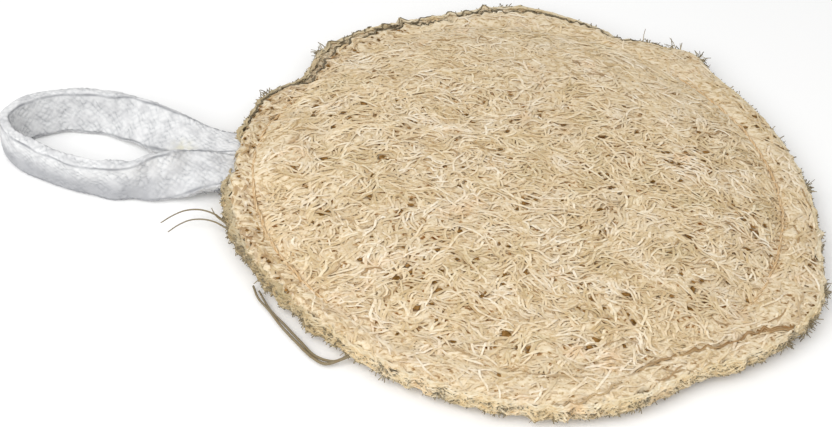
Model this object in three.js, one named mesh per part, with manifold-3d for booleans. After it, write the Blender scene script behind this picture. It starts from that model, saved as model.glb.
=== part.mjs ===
// A flat round loofah pad: two pressed loofah sheets sewn together near their rim,
// with both ends of a white cotton tape caught in the seam as a hanging loop.
// Millimetres, +Z up. The origin is the middle of the flat spot that the pad rests on,
// and the loop points along -X.
import * as THREE from 'three';
import { mergeVertices } from 'three/addons/utils/BufferGeometryUtils.js';
import Module from 'manifold-3d';

const wasm = await Module();
wasm.setup();

// Plan of the pad
const PAD_RADIUS = 75.9;
const SEAM_RADIUS = 66.9; // the seam is a circle of its own, a little nearer the loop
const SEAM_OFFSET = 2.6;
const SEAM_BAY = 2.4; // it keeps clear of the rim's deepest bite
const BAY_ANGLE = 2.6; // radians
const BAY_HALF = 0.44;
const PAD_SEGMENTS = 36; // one straight edge of the seam for each stitch
const RINGS = [0, 0.2, 0.38, 0.56, 0.73, 0.88, 1, 1.5, 2]; // 0 is the middle, 1 the seam, 2 the rim
const SHEET_SLIP = 0.45; // the back sheet lies this much nearer -Y, the front one nearer +Y
const FRONT_NOTCH = 2.2; // the front sheet stops short where the tape enters
const NOTCH_HALF = 0.2; // radians

// Heights
const DOME_TOP = 15.0;
const SEAM_TOP = 7.6;
const SEAM_FOOT = 3.6;
const RIM_TOP = 7.0;
const RIM_FOOT = 2.7;
const FLAP_SWELL = 0.7; // how far the margin outside the seam bulges
const DOME_REACH = 16; // distance from the seam over which the dome rises
const UNDER_REACH = 8;
const UNDER_DIP = 0.4; // ends the underside's rise at a finite distance
const MID_RIM = 5.2; // where the two sheets meet
const MID_CENTRE = 7.0;
const MID_START = 12; // distances from the seam over which that height changes
const MID_END = 45;
const SHEET_GAP = 0.3;

// Fibres of the net
const FIBRE_PROUD = 0.95;
const FIBRE_SUNK = 1.1;
const FIBRE_HALF = 0.95;
const FIBRE_STEPS = 3;
const FIBRE_DIVE = 1.3; // how far its ends go down
const NET_RADIUS = 58; // the fibres' middles lie within it
const FRONT_FIBRES = 112;
const BACK_FIBRES = 54;
const FIBRE_LONG = 28; // in the middle
const FIBRE_SHORT = 15; // near the seam
const SHORTEN_START = 40; // radius where they begin to get shorter
const GRAIN_SPREAD = 1.1; // radians either way from the grain
const FOLLOW_START = 30; // radii between which they begin to follow the rim
const FOLLOW_END = 60;
const FOLLOW_SHARE = 0.55;
const FIBRE_CURL = 0.015; // radians for each millimetre from its middle
const FLAP_FIBRES = 24; // short ones on the margin outside the seam
const FLAP_LENGTH = 8;
const FLAP_PLACE = 1.58; // between 1 at the seam and 2 at the rim
const FLAP_SPREAD = 0.25; // radians
const CUT_ENDS = 30; // cut fibre ends that stand out of each sheet's rim
const CUT_END_LENGTH = 6.0;
const CUT_END_RADIUS = 0.75;
const CUT_END_SEAT = 1.2; // how far its middle lies inside the rim
const CUT_END_SPREAD = 0.35; // radians
const FRONT_CUT_RISE = 1.05; // the cut ends' height above the place where the sheets meet
const BACK_CUT_DROP = 1.3;
const LOOSE_FIBRE = 0.8;
const LOOSE_STEPS = 10;
const REST_SPOT = 15; // radius of the flat spot at the origin, past the first ring
const REST_BLEND = 25;

// Tape of the loop
const TAPE_WIDTH = 11.5;
const TAPE_THICK = 2.9;
const TAPE_EDGE = 0.9; // rounding of its edges
const TAPE_PRESSED = 2.4; // between the sheets
const PRESS_START = 78; // distance from the origin where it begins to widen
const PRESS_END = 88;
const FAR_END_WIDTH = 8.2; // the far end is pressed narrow beside the near one
const FAR_END_Y = 6.1;
const NEAR_END_WIDTH = 12.0;
const NEAR_END_Y = -4.3;
const TAPE_END_X = -61;
const TAPE_HEIGHT = 6.1; // middle of the tape above the table, outside the pad
const TAPE_STEPS = 64;
const POCKET_GAP = 0.3;
const HUMP_TOP = 1.9; // how far the tape lifts the front sheet
const HUMP_FOOT = 1.2;
const HUMP_HALF = 13.5;
const HUMP_START = 52; // distances from the origin over which the hump rises
const HUMP_END = 62;

// Seam thread
const THREAD_SIZE = 0.8;
const THREAD_POST = 0.6; // where it passes through the sheets
const THREAD_DIP = 0.6; // middle of the thread above the groove at a stitch hole
const THREAD_ARCH = 1.5; // and halfway between two holes
const HOLE_ALONG = 2.2;
const HOLE_ACROSS = 1.7;

const ROOM = 100; // what cuts or trims the pieces reaches past them on every side

// A number between 0 and 1 that is the same on every run.
function seeded(seed) {
  let state = seed;
  return () => {
    state = (state * 1664525 + 1013904223) % 4294967296;
    return state / 4294967296;
  };
}

const smoothstep = THREE.MathUtils.smoothstep;
const lerp = THREE.MathUtils.lerp;

// Low waves of the rim, which is cut by hand: height and phase of the first, second and
// so on round the pad
const rimWaves = [[1.36, -1.65], [1.1, -1.62], [1.15, -3.12], [0.64, 2.88], [0.47, -1.78], [0.36, 0.94]];

// Tufts and bites of the rim: middle and half width in degrees, height
const rimBumps = [
  [54.1, 4.8, 3.8], [70.3, 3.9, -2.5], [92.2, 13.6, 6.2], [-25.2, 7.8, 2.3], [148.9, 7.3, -4.6],
  [-57.8, 16.1, -6.4],
];

function rimRadius(theta) {
  let r = PAD_RADIUS - SHEET_SLIP;
  rimWaves.forEach(([size, phase], i) => {
    r += size * Math.cos((i + 1) * theta - phase);
  });
  for (const [middle, width, size] of rimBumps) {
    const turn = theta - THREE.MathUtils.degToRad(middle);
    const away = Math.atan2(Math.sin(turn), Math.cos(turn)) / THREE.MathUtils.degToRad(width);
    r += size * Math.exp(-away * away);
  }
  return r;
}

function frontRim(theta) {
  const away = (Math.PI - Math.abs(theta)) / NOTCH_HALF;
  return rimRadius(theta) + SHEET_SLIP * Math.sin(theta) - FRONT_NOTCH * Math.exp(-away * away);
}

const backRim = (theta) => rimRadius(theta) - SHEET_SLIP * Math.sin(theta);

function seamRadius(theta) {
  const away = (theta - BAY_ANGLE) / BAY_HALF;
  return SEAM_RADIUS - SEAM_OFFSET * Math.cos(theta) - SEAM_BAY * Math.exp(-away * away);
}

// u runs from 0 at the middle to 1 at the seam and 2 at the rim.
function radiusAt(u, theta, rim) {
  const seam = seamRadius(theta);
  return u <= 1 ? u * seam : lerp(seam, rim(theta), u - 1);
}

function spreadAt(x, y, rim) {
  const theta = Math.atan2(y, x);
  const r = Math.hypot(x, y);
  const seam = seamRadius(theta);
  return r <= seam ? r / seam : 1 + (r - seam) / (rim(theta) - seam);
}

// 1 over the two tape ends, 0 away from them
function overTape(x, y) {
  const across = Math.exp(-Math.pow(Math.abs(y) / HUMP_HALF, 6));
  return across * smoothstep(-x, HUMP_START, HUMP_END);
}

// The top of the pad rises from the seam as one minus an exponential, and the margin
// outside the seam is a low half sine that slopes down to the rim.
function topHeight(x, y) {
  const u = spreadAt(x, y, frontRim);
  const hump = HUMP_TOP * overTape(x, y);
  if (u > 1) {
    return lerp(SEAM_TOP, RIM_TOP, u - 1) + FLAP_SWELL * Math.sin(Math.PI * (u - 1)) + hump;
  }
  const inside = (1 - u) * SEAM_RADIUS;
  return SEAM_TOP + (DOME_TOP - SEAM_TOP) * (1 - Math.exp(-inside / DOME_REACH)) + hump;
}

// The underside is the same in reverse, pressed flat by its own weight.
function footHeight(x, y) {
  const u = spreadAt(x, y, backRim);
  const hump = HUMP_FOOT * overTape(x, y);
  if (u > 1) {
    return lerp(SEAM_FOOT, RIM_FOOT, u - 1) - FLAP_SWELL * Math.sin(Math.PI * (u - 1)) - hump;
  }
  const inside = (1 - u) * SEAM_RADIUS;
  const swell = (SEAM_FOOT - FIBRE_PROUD + UNDER_DIP) * Math.exp(-inside / UNDER_REACH);
  const rise = Math.max(0, swell - UNDER_DIP);
  return FIBRE_PROUD * smoothstep(Math.hypot(x, y), REST_SPOT, REST_BLEND) + rise - hump;
}

function middleHeight(x, y) {
  const inside = (1 - spreadAt(x, y, backRim)) * SEAM_RADIUS;
  return lerp(MID_RIM, MID_CENTRE, smoothstep(inside, MID_START, MID_END));
}

// A closed geometry becomes a solid once its shared points are merged and the
// triangles without area, at a pole, are left out.
function solid(geometry) {
  const bare = geometry.clone();
  bare.deleteAttribute('normal');
  bare.deleteAttribute('uv');
  const merged = mergeVertices(bare, 1e-5);
  const index = [];
  const source = merged.index.array;
  for (let i = 0; i < source.length; i += 3) {
    const [a, b, c] = [source[i], source[i + 1], source[i + 2]];
    if (a !== b && b !== c && c !== a) index.push(a, b, c);
  }
  return new wasm.Manifold(new wasm.Mesh({
    numProp: 3,
    vertProperties: new Float32Array(merged.attributes.position.array),
    triVerts: new Uint32Array(index),
  }));
}

function part(name, body, material) {
  const mesh = body.getMesh();
  const geometry = new THREE.BufferGeometry();
  geometry.setAttribute('position', new THREE.BufferAttribute(mesh.vertProperties, 3));
  geometry.setIndex(new THREE.BufferAttribute(mesh.triVerts, 1));
  geometry.computeVertexNormals();
  const result = new THREE.Mesh(geometry, material);
  result.name = name;
  return result;
}

// Moves every point of a geometry by a rule.
function bend(geometry, rule) {
  const points = geometry.attributes.position;
  const p = new THREE.Vector3();
  for (let i = 0; i < points.count; i++) {
    rule(p.fromBufferAttribute(points, i));
    points.setXYZ(i, p.x, p.y, p.z);
  }
  return geometry;
}

// Ring k of the disc inside the seam has 6 k points, so all its triangles are about as
// large, and the seam's ring has one point for each stitch. The margin has two more
// rings like the seam's.
function ringPoints(ring) {
  const count = THREE.MathUtils.clamp(6 * ring, 1, PAD_SEGMENTS);
  return Array.from({ length: count }, (_, j) => -Math.PI + (2 * Math.PI * j) / count);
}

function discTriangles() {
  const starts = [0];
  for (let ring = 0; ring < RINGS.length; ring++) starts.push(starts[ring] + ringPoints(ring).length);
  const triangles = [];
  for (let ring = 1; ring < RINGS.length; ring++) {
    const inner = ringPoints(ring - 1).length;
    const outer = ringPoints(ring).length;
    const at = (k, j) => starts[k] + (j % (k === ring ? outer : inner));
    for (let j = 0; j < outer; j++) {
      const near = Math.floor(((j + 0.5) * inner) / outer + 1e-9);
      const next = Math.floor(((j + 1.5) * inner) / outer + 1e-9);
      triangles.push([at(ring, j), at(ring, j + 1), at(ring - 1, near)]);
      if (next !== near) triangles.push([at(ring, j + 1), at(ring - 1, next), at(ring - 1, near)]);
    }
  }
  return { count: starts[RINGS.length], edge: starts[RINGS.length - 1], triangles };
}

// A sheet is two such discs, its lower and its upper face, joined round the rim.
function sheetBody(rim, lower, upper) {
  const disc = discTriangles();
  const points = [];
  for (const face of [lower, upper]) {
    RINGS.forEach((u, ring) => {
      for (const theta of ringPoints(ring)) {
        const r = radiusAt(u, theta, rim);
        const [x, y] = [r * Math.cos(theta), r * Math.sin(theta)];
        points.push(x, y, face(x, y));
      }
    });
  }
  const index = [];
  for (const [a, b, c] of disc.triangles) {
    index.push(a, c, b);
    index.push(disc.count + a, disc.count + b, disc.count + c);
  }
  for (let j = 0; j < PAD_SEGMENTS; j++) {
    const a = disc.edge + j;
    const b = disc.edge + ((j + 1) % PAD_SEGMENTS);
    index.push(a, b, disc.count + b);
    index.push(a, disc.count + b, disc.count + a);
  }
  const geometry = new THREE.BufferGeometry();
  geometry.setAttribute('position', new THREE.Float32BufferAttribute(points, 3));
  geometry.setIndex(index);
  return solid(geometry);
}

// A fibre of the net: a straight three-sided bar, bent along a shallow arc on its sheet.
// Its two ends dive into the sheet. side is 1 for a crest that points up, -1 for down.
function fibre(x, y, angle, length, curl, height, side) {
  const section = new THREE.Shape([
    new THREE.Vector2(0, FIBRE_PROUD),
    new THREE.Vector2(-FIBRE_HALF, -FIBRE_SUNK),
    new THREE.Vector2(FIBRE_HALF, -FIBRE_SUNK),
  ]);
  const bar = new THREE.ExtrudeGeometry(section, { depth: 1, steps: FIBRE_STEPS, bevelEnabled: false });
  return solid(bend(bar, (p) => {
    const t = (p.z - 0.5) * length;
    const turn = angle + curl * t;
    const px = x + t * Math.cos(turn);
    const py = y + t * Math.sin(turn);
    const dive = Math.abs(p.z - 0.5) > 0.49 ? FIBRE_DIVE : 0;
    const deepest = side * middleHeight(px, py) + SHEET_GAP; // short of the other sheet
    const z = side * Math.max(deepest, side * height(px, py) + p.y - dive);
    p.set(px - side * p.x * Math.sin(turn), py + side * p.x * Math.cos(turn), z);
  }));
}

// A direction in the plane, turned by half a turn if need be so that it points along +X
function forward(angle) {
  const turn = Math.atan2(Math.sin(angle), Math.cos(angle));
  if (turn > Math.PI / 2) return turn - Math.PI;
  return turn < -Math.PI / 2 ? turn + Math.PI : turn;
}

const either = (random, size) => size * (2 * random() - 1);

// The net inside the seam: fibres laid round the disc by the golden angle, so that
// they are even, and turned about the grain, which runs along X.
function netFibres(count, height, side, random) {
  const golden = Math.PI * (3 - Math.sqrt(5));
  const fibres = [];
  for (let i = 0; i < count; i++) {
    const r = NET_RADIUS * Math.sqrt((i + 0.5) / count);
    const theta = i * golden;
    const follow = FOLLOW_SHARE * smoothstep(r, FOLLOW_START, FOLLOW_END);
    const angle = either(random, GRAIN_SPREAD) + follow * forward(theta + Math.PI / 2);
    const typical = lerp(FIBRE_LONG, FIBRE_SHORT, smoothstep(r, SHORTEN_START, NET_RADIUS));
    const length = typical * (1 + either(random, 0.15));
    const curl = either(random, FIBRE_CURL);
    fibres.push(fibre(r * Math.cos(theta), r * Math.sin(theta), angle, length, curl, height, side));
  }
  return fibres;
}

// Short fibres on the margin outside the seam
function flapFibres(rim, height, side, random) {
  const fibres = [];
  for (let i = 0; i < FLAP_FIBRES; i++) {
    const theta = -Math.PI + ((i + 0.5 + either(random, 0.15)) / FLAP_FIBRES) * 2 * Math.PI;
    const r = radiusAt(FLAP_PLACE, theta, rim);
    const angle = theta + Math.PI / 2 + either(random, FLAP_SPREAD);
    fibres.push(fibre(r * Math.cos(theta), r * Math.sin(theta), angle, FLAP_LENGTH, 0, height, side));
  }
  return fibres;
}

// Cut fibre ends: three-sided cones that stand out of the rim's cut edge, none of them
// where the tape comes out.
function cutEnds(rim, height, random) {
  const ends = [];
  for (let i = 0; i < CUT_ENDS; i++) {
    const theta = -Math.PI + ((i + 0.5 + either(random, 0.2)) / CUT_ENDS) * 2 * Math.PI;
    const cone = new THREE.ConeGeometry(CUT_END_RADIUS, CUT_END_LENGTH, 3);
    cone.translate(0, either(random, 0.3), 0);
    cone.rotateZ(-Math.PI / 2 + either(random, CUT_END_SPREAD));
    cone.translate(rim(theta) - CUT_END_SEAT, 0, 0);
    cone.rotateZ(theta);
    cone.translate(0, 0, height);
    if (Math.PI - Math.abs(theta) > NOTCH_HALF) ends.push(solid(cone));
  }
  return ends;
}

// Long fibres that have come loose from the rim
const looseFibres = [
  [[-68, -24.5, 4.2], [-73.1, -23, 4.4], [-80.3, -19.2, 4.8], [-83.8, -19.9, 4.7], [-88.9, -24.5, 4.4]],
  [[-68, -25.2, 3.8], [-73, -23.6, 3.6], [-79.4, -20.9, 3.5], [-82.4, -21.5, 3.4], [-87, -26, 3]],
  [[-39, -61.3, 3.9], [-41.7, -62, 2.6], [-46.1, -63.2, 1.3], [-53, -57.3, 1.1], [-60.5, -47.5, 1.1],
    [-65, -40, 1.2]],
  [[-38.6, -60.6, 3.9], [-40.6, -61, 2.8], [-43.9, -62.6, 1.8], [-52.4, -56.6, 1.1], [-60.3, -47.2, 1.1],
    [-63.5, -41.5, 1.2]],
];

function looseFibre(route) {
  const half = LOOSE_FIBRE / 2;
  const section = new THREE.Shape([
    new THREE.Vector2(-half, -half),
    new THREE.Vector2(half, -half),
    new THREE.Vector2(half, half),
    new THREE.Vector2(-half, half),
  ]);
  const path = new THREE.CatmullRomCurve3(route.map((p) => new THREE.Vector3(...p)));
  const options = { steps: LOOSE_STEPS, bevelEnabled: false, extrudePath: path };
  return solid(new THREE.ExtrudeGeometry(section, options));
}

// Middle of the tape: out of the seam, round the loop and back beside itself
const tapeRoute = [
  [TAPE_END_X, FAR_END_Y], [-70, FAR_END_Y], [-80, 5.7], [-88, 6.1], [-95, 8.9], [-103, 12.2],
  [-113, 13.2], [-121.5, 11.4], [-128, 7], [-130.7, 1.6], [-128, -3.7], [-119.5, -8.6], [-110, -12],
  [-101, -12.5], [-91, -9.5], [-82, -5.7], [-76, NEAR_END_Y], [-70, NEAR_END_Y],
  [TAPE_END_X, NEAR_END_Y],
];

// How far the tape's upper edge leans away from the hole, in degrees, at fractions of
// its length: flat at both ends, nearly upright in the loop.
const tapeLean = [
  [0, 90], [0.09, 90], [0.17, 72], [0.24, 45], [0.33, 12], [0.5, 5], [0.66, 12], [0.74, 5],
  [0.8, -30], [0.86, -74], [0.91, -90], [1, -90],
];

function leanAt(t) {
  const next = Math.max(1, tapeLean.findIndex(([at]) => at >= t));
  const [t0, a0] = tapeLean[next - 1];
  const [t1, a1] = tapeLean[next];
  return THREE.MathUtils.degToRad(lerp(a0, a1, smoothstep(t, t0, t1)));
}

function tapePath() {
  return new THREE.CatmullRomCurve3(tapeRoute.map(([x, y]) =>
    new THREE.Vector3(x, y, lerp(MID_RIM, TAPE_HEIGHT, smoothstep(-x, 76, 86)))));
}

// A straight tape with rounded edges, bent along its path: its width turns from flat
// to upright, and it is pressed thinner between the sheets.
function tapeBody() {
  const path = tapePath();
  const half = TAPE_WIDTH / 2;
  const rise = TAPE_THICK / 2;
  const flat = half - TAPE_EDGE;
  const section = new THREE.Shape([
    new THREE.Vector2(-half, -0.4 * rise),
    new THREE.Vector2(-flat, -rise),
    new THREE.Vector2(flat, -rise),
    new THREE.Vector2(half, -0.4 * rise),
    new THREE.Vector2(half, 0.4 * rise),
    new THREE.Vector2(flat, rise),
    new THREE.Vector2(-flat, rise),
    new THREE.Vector2(-half, 0.4 * rise),
  ]);
  const straight = new THREE.ExtrudeGeometry(section, { depth: 1, steps: TAPE_STEPS, bevelEnabled: false });
  return solid(bend(straight, (p) => {
    const t = THREE.MathUtils.clamp(p.z, 0, 1);
    const at = path.getPointAt(t);
    const along = path.getTangentAt(t);
    const outward = new THREE.Vector3(along.y, -along.x, 0).normalize();
    const lean = leanAt(t);
    const width = outward.clone().multiplyScalar(Math.sin(lean));
    width.z = Math.cos(lean);
    const face = new THREE.Vector3().crossVectors(along, width).normalize();
    const pressed = 1 - smoothstep(-at.x, PRESS_START, PRESS_END);
    const endWidth = t < 0.5 ? FAR_END_WIDTH : NEAR_END_WIDTH;
    const across = p.x * lerp(1, endWidth / TAPE_WIDTH, pressed);
    const through = p.y * lerp(1, TAPE_PRESSED / TAPE_THICK, pressed);
    p.copy(at).addScaledVector(width, across).addScaledVector(face, through);
  }));
}

// The room that the two tape ends take up between the sheets
function tapePocket() {
  const inner = TAPE_END_X + POCKET_GAP;
  const outer = -PAD_RADIUS - 8;
  const near = NEAR_END_Y - NEAR_END_WIDTH / 2 - POCKET_GAP;
  const far = FAR_END_Y + FAR_END_WIDTH / 2 + POCKET_GAP;
  const room = new THREE.BoxGeometry(inner - outer, far - near, TAPE_PRESSED + 2 * POCKET_GAP);
  room.translate((inner + outer) / 2, (near + far) / 2, MID_RIM);
  return solid(room);
}

// Stitches sit at the middle of each straight edge of the seam.
const stitches = Array.from({ length: PAD_SEGMENTS }, (_, i) => {
  const step = (2 * Math.PI) / PAD_SEGMENTS;
  const theta = -Math.PI + (i + 0.5) * step;
  const [a, b] = [theta - step / 2, theta + step / 2].map((end) => new THREE.Vector2(
    seamRadius(end) * Math.cos(end), seamRadius(end) * Math.sin(end)));
  return { theta, x: (a.x + b.x) / 2, y: (a.y + b.y) / 2, ends: [a, b] };
});

function stitchPost(stitch, along, across, low, high) {
  const post = new THREE.BoxGeometry(across, along, high - low);
  post.rotateZ(stitch.theta);
  post.translate(stitch.x, stitch.y, (high + low) / 2);
  return solid(post);
}

function grooveHeight(stitch, height) {
  const [a, b] = stitch.ends;
  return (height(a.x, a.y) + height(b.x, b.y)) / 2;
}

// One run of thread round the groove of a sheet: it dips at each hole and arches
// between two holes. side is 1 on the front and -1 on the back.
function threadRun(height, side) {
  const size = 10;
  const centre = new THREE.Vector2();
  const ring = new THREE.TorusGeometry(size, THREAD_SIZE / Math.SQRT2, 4, 2 * PAD_SEGMENTS);
  return solid(bend(ring, (p) => {
    const theta = Math.atan2(p.y, p.x);
    const offset = new THREE.Vector2(Math.hypot(p.x, p.y) - size, p.z).rotateAround(centre, Math.PI / 4);
    const place = ((theta + Math.PI) / (2 * Math.PI)) * PAD_SEGMENTS;
    const half = Math.round(place * 2) % (2 * PAD_SEGMENTS);
    const stitch = stitches[Math.floor(half / 2)];
    const atHole = half % 2 === 1;
    const spot = atHole ? stitch : stitch.ends[0];
    const turn = Math.atan2(spot.y, spot.x);
    const base = atHole ? grooveHeight(stitch, height) : height(spot.x, spot.y);
    const lift = atHole ? THREAD_DIP : THREAD_ARCH;
    const r = Math.hypot(spot.x, spot.y) + offset.x;
    p.set(r * Math.cos(turn), r * Math.sin(turn), base + side * lift + offset.y);
  }));
}

function seamThread() {
  const posts = stitches.map((stitch) => stitchPost(
    stitch, THREAD_POST, THREAD_POST,
    grooveHeight(stitch, footHeight) - THREAD_DIP, grooveHeight(stitch, topHeight) + THREAD_DIP));
  return wasm.Manifold.union([threadRun(topHeight, 1), threadRun(footHeight, -1), ...posts]);
}

function stitchHoles() {
  const bores = stitches.map((stitch) => stitchPost(stitch, HOLE_ALONG, HOLE_ACROSS, -ROOM, ROOM));
  return wasm.Manifold.union(bores);
}

// Everything below the table is cut away, so that the lowest crests are pressed flat.
function aboveTable() {
  const room = new THREE.BoxGeometry(4 * ROOM, 4 * ROOM, ROOM);
  room.translate(0, 0, ROOM / 2);
  return solid(room);
}

const loofah = new THREE.MeshStandardMaterial({ color: 0xdcc5a1, roughness: 0.9, metalness: 0 });
const loofahBack = new THREE.MeshStandardMaterial({ color: 0xd2ba94, roughness: 0.9, metalness: 0 });
const cotton = new THREE.MeshStandardMaterial({ color: 0xdcdee0, roughness: 0.85, metalness: 0 });
const thread = new THREE.MeshStandardMaterial({ color: 0xcf9c5a, roughness: 0.8, metalness: 0 });

const holes = stitchHoles();
const pocket = tapePocket();
const upperFace = (x, y) => middleHeight(x, y) + SHEET_GAP / 2;
const lowerFace = (x, y) => middleHeight(x, y) - SHEET_GAP / 2;

function frontSheet() {
  const random = seeded(71);
  return wasm.Manifold.union([
    sheetBody(frontRim, upperFace, topHeight),
    ...netFibres(FRONT_FIBRES, topHeight, 1, random),
    ...flapFibres(frontRim, topHeight, 1, random),
    ...cutEnds(frontRim, MID_RIM + FRONT_CUT_RISE, random),
  ]).subtract(holes).subtract(pocket);
}

function backSheet() {
  const random = seeded(23);
  return wasm.Manifold.union([
    sheetBody(backRim, footHeight, lowerFace),
    ...netFibres(BACK_FIBRES, footHeight, -1, random),
    ...flapFibres(backRim, footHeight, -1, random),
    ...cutEnds(backRim, MID_RIM - BACK_CUT_DROP, random),
    ...looseFibres.map(looseFibre),
  ]).subtract(holes).subtract(pocket).intersect(aboveTable());
}

const pad = new THREE.Group();
pad.add(part('front_loofah_sheet', frontSheet(), loofah));
pad.add(part('back_loofah_sheet', backSheet(), loofahBack));
pad.add(part('hanging_loop', tapeBody().subtract(holes), cotton));
pad.add(part('seam_thread', seamThread(), thread));

export default pad;
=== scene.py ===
"""A flat round loofah pad with a white cotton hanging loop, lying on a pale floor.

The pad's form repeats the formulas of the modelled solids, in millimetres, and every mesh
is turned into metres when it is made. The two loofah sheets become a recessed mat with
thousands of separate fibres laid over it, and the tape and the seam thread get their braid
and twist in the mesh.
"""
import math

import bpy
import numpy as np
from mathutils import Matrix, Vector


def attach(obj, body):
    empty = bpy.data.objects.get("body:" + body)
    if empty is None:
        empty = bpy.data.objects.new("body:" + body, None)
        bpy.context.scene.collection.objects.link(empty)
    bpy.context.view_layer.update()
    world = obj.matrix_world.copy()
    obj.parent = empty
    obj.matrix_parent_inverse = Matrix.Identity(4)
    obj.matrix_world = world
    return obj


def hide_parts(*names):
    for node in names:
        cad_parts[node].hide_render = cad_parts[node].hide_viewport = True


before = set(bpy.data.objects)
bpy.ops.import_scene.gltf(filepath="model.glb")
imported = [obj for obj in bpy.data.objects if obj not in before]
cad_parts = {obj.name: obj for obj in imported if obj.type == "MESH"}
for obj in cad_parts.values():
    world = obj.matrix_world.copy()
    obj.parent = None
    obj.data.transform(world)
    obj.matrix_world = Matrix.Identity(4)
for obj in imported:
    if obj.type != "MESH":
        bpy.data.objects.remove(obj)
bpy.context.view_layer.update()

MM = 0.001

# Camera, in millimetres: its place, the point that it is aimed at, and the lens and shift
# that frame the pad to the right of the middle
CAMERA_PLACE = (-35.7, -342.0, 292.3)
CAMERA_AIM = (0.1, -1.7, 0.0)
CAMERA_ROLL = 9.3
CAMERA_LENS = 76.5
SENSOR_WIDTH = 36.0
IMAGE_WIDTH = 832
IMAGE_HEIGHT = 427
AIM_PIXEL = (528.0, 209.0)


def add_camera():
    """The camera at the photograph's angle, rolled and shifted as its framing needs."""
    data = bpy.data.cameras.new("camera")
    data.sensor_width = SENSOR_WIDTH
    data.lens = CAMERA_LENS
    data.shift_x = (IMAGE_WIDTH / 2 - AIM_PIXEL[0]) / IMAGE_WIDTH
    data.shift_y = (AIM_PIXEL[1] - IMAGE_HEIGHT / 2) / IMAGE_WIDTH
    data.clip_start = 0.01
    data.clip_end = 20.0
    camera = bpy.data.objects.new("camera", data)
    bpy.context.scene.collection.objects.link(camera)
    place = Vector(CAMERA_PLACE) * MM
    aim = Vector(CAMERA_AIM) * MM
    turn = (aim - place).to_track_quat("-Z", "Y").to_matrix().to_4x4()
    roll = Matrix.Rotation(math.radians(CAMERA_ROLL), 4, "Z")
    camera.matrix_world = Matrix.Translation(place) @ turn @ roll
    bpy.context.scene.camera = camera


add_camera()

# Form of the pad, in millimetres and radians, as in the solids
PAD_RADIUS = 75.9
SEAM_RADIUS = 66.9
SEAM_OFFSET = 2.6
SEAM_BAY = 2.4
BAY_ANGLE = 2.6
BAY_HALF = 0.44
SHEET_SLIP = 0.45
FRONT_NOTCH = 2.2
NOTCH_HALF = 0.2
RIM_WAVES = ((1.36, -1.65), (1.1, -1.62), (1.15, -3.12), (0.64, 2.88), (0.47, -1.78), (0.36, 0.94))
RIM_BUMPS = ((54.1, 4.8, 3.8), (70.3, 3.9, -2.5), (92.2, 13.6, 6.2), (-25.2, 7.8, 2.3),
             (148.9, 7.3, -4.6), (-57.8, 16.1, -6.4))
DOME_TOP = 15.0
SEAM_TOP = 7.6
SEAM_FOOT = 3.6
RIM_TOP = 7.0
RIM_FOOT = 2.7
FLAP_SWELL = 0.7
DOME_REACH = 16.0
UNDER_REACH = 8.0
UNDER_DIP = 0.4
MID_RIM = 5.2
MID_CENTRE = 7.0
MID_START = 12.0
MID_END = 45.0
SHEET_GAP = 0.3
CREST = 0.95
REST_SPOT = 15.0
REST_BLEND = 25.0
HUMP_TOP = 1.9
HUMP_FOOT = 1.2
HUMP_HALF = 13.5
HUMP_START = 52.0
HUMP_END = 62.0

# Tape of the loop
TAPE_WIDTH = 11.5
TAPE_THICK = 2.9
TAPE_PRESSED = 2.4
PRESS_START = 78.0
PRESS_END = 88.0
FAR_END_WIDTH = 8.2
FAR_END_Y = 6.1
NEAR_END_WIDTH = 12.0
NEAR_END_Y = -4.3
TAPE_END_X = -61.0
TAPE_HEIGHT = 6.1
TAPE_ROUTE = (
    (TAPE_END_X, FAR_END_Y), (-70, FAR_END_Y), (-80, 5.7), (-88, 6.1), (-95, 8.9), (-103, 12.2),
    (-113, 13.2), (-121.5, 11.4), (-128, 7), (-130.7, 1.6), (-128, -3.7), (-119.5, -8.6),
    (-110, -12), (-101, -12.5), (-91, -9.5), (-82, -5.7), (-76, NEAR_END_Y), (-70, NEAR_END_Y),
    (TAPE_END_X, NEAR_END_Y),
)
TAPE_LEAN = (
    (0, 90), (0.09, 90), (0.17, 72), (0.24, 45), (0.33, 12), (0.5, 5), (0.66, 12), (0.74, 5),
    (0.8, -30), (0.86, -74), (0.91, -90), (1, -90),
)


def smoothstep(value, start, end):
    """0 up to the start and 1 from the end, and between them 3 t squared minus 2 t cubed."""
    t = np.clip((value - start) / (end - start), 0, 1)
    return t * t * (3 - 2 * t)


def lerp(a, b, t):
    """The value at the share t of the way from a to b."""
    return a + (b - a) * t


def rim_radius(theta):
    """Distance of the rim from the origin: a circle, plus six low waves round the pad, plus
    a few bell-shaped tufts and bites."""
    r = np.full_like(theta, PAD_RADIUS - SHEET_SLIP)
    for number, (size, phase) in enumerate(RIM_WAVES, start=1):
        r += size * np.cos(number * theta - phase)
    for middle, width, size in RIM_BUMPS:
        turn = theta - math.radians(middle)
        away = np.arctan2(np.sin(turn), np.cos(turn)) / math.radians(width)
        r += size * np.exp(-away * away)
    return r


def front_rim(theta):
    """The rim moved towards +Y, with a bell-shaped notch over the tape."""
    away = (math.pi - np.abs(theta)) / NOTCH_HALF
    return rim_radius(theta) + SHEET_SLIP * np.sin(theta) - FRONT_NOTCH * np.exp(-away * away)


def back_rim(theta):
    """The rim moved towards -Y by the same slip."""
    return rim_radius(theta) - SHEET_SLIP * np.sin(theta)


def seam_radius(theta):
    """A circle with its middle a little nearer the loop, and a bell-shaped bay."""
    away = (theta - BAY_ANGLE) / BAY_HALF
    return SEAM_RADIUS - SEAM_OFFSET * np.cos(theta) - SEAM_BAY * np.exp(-away * away)


def spread_at(x, y, rim):
    """0 in the middle, 1 at the seam and 2 at the rim, in proportion to the distance."""
    theta = np.arctan2(y, x)
    r = np.hypot(x, y)
    seam = seam_radius(theta)
    return np.where(r <= seam, r / seam, 1 + (r - seam) / (rim(theta) - seam))


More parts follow.
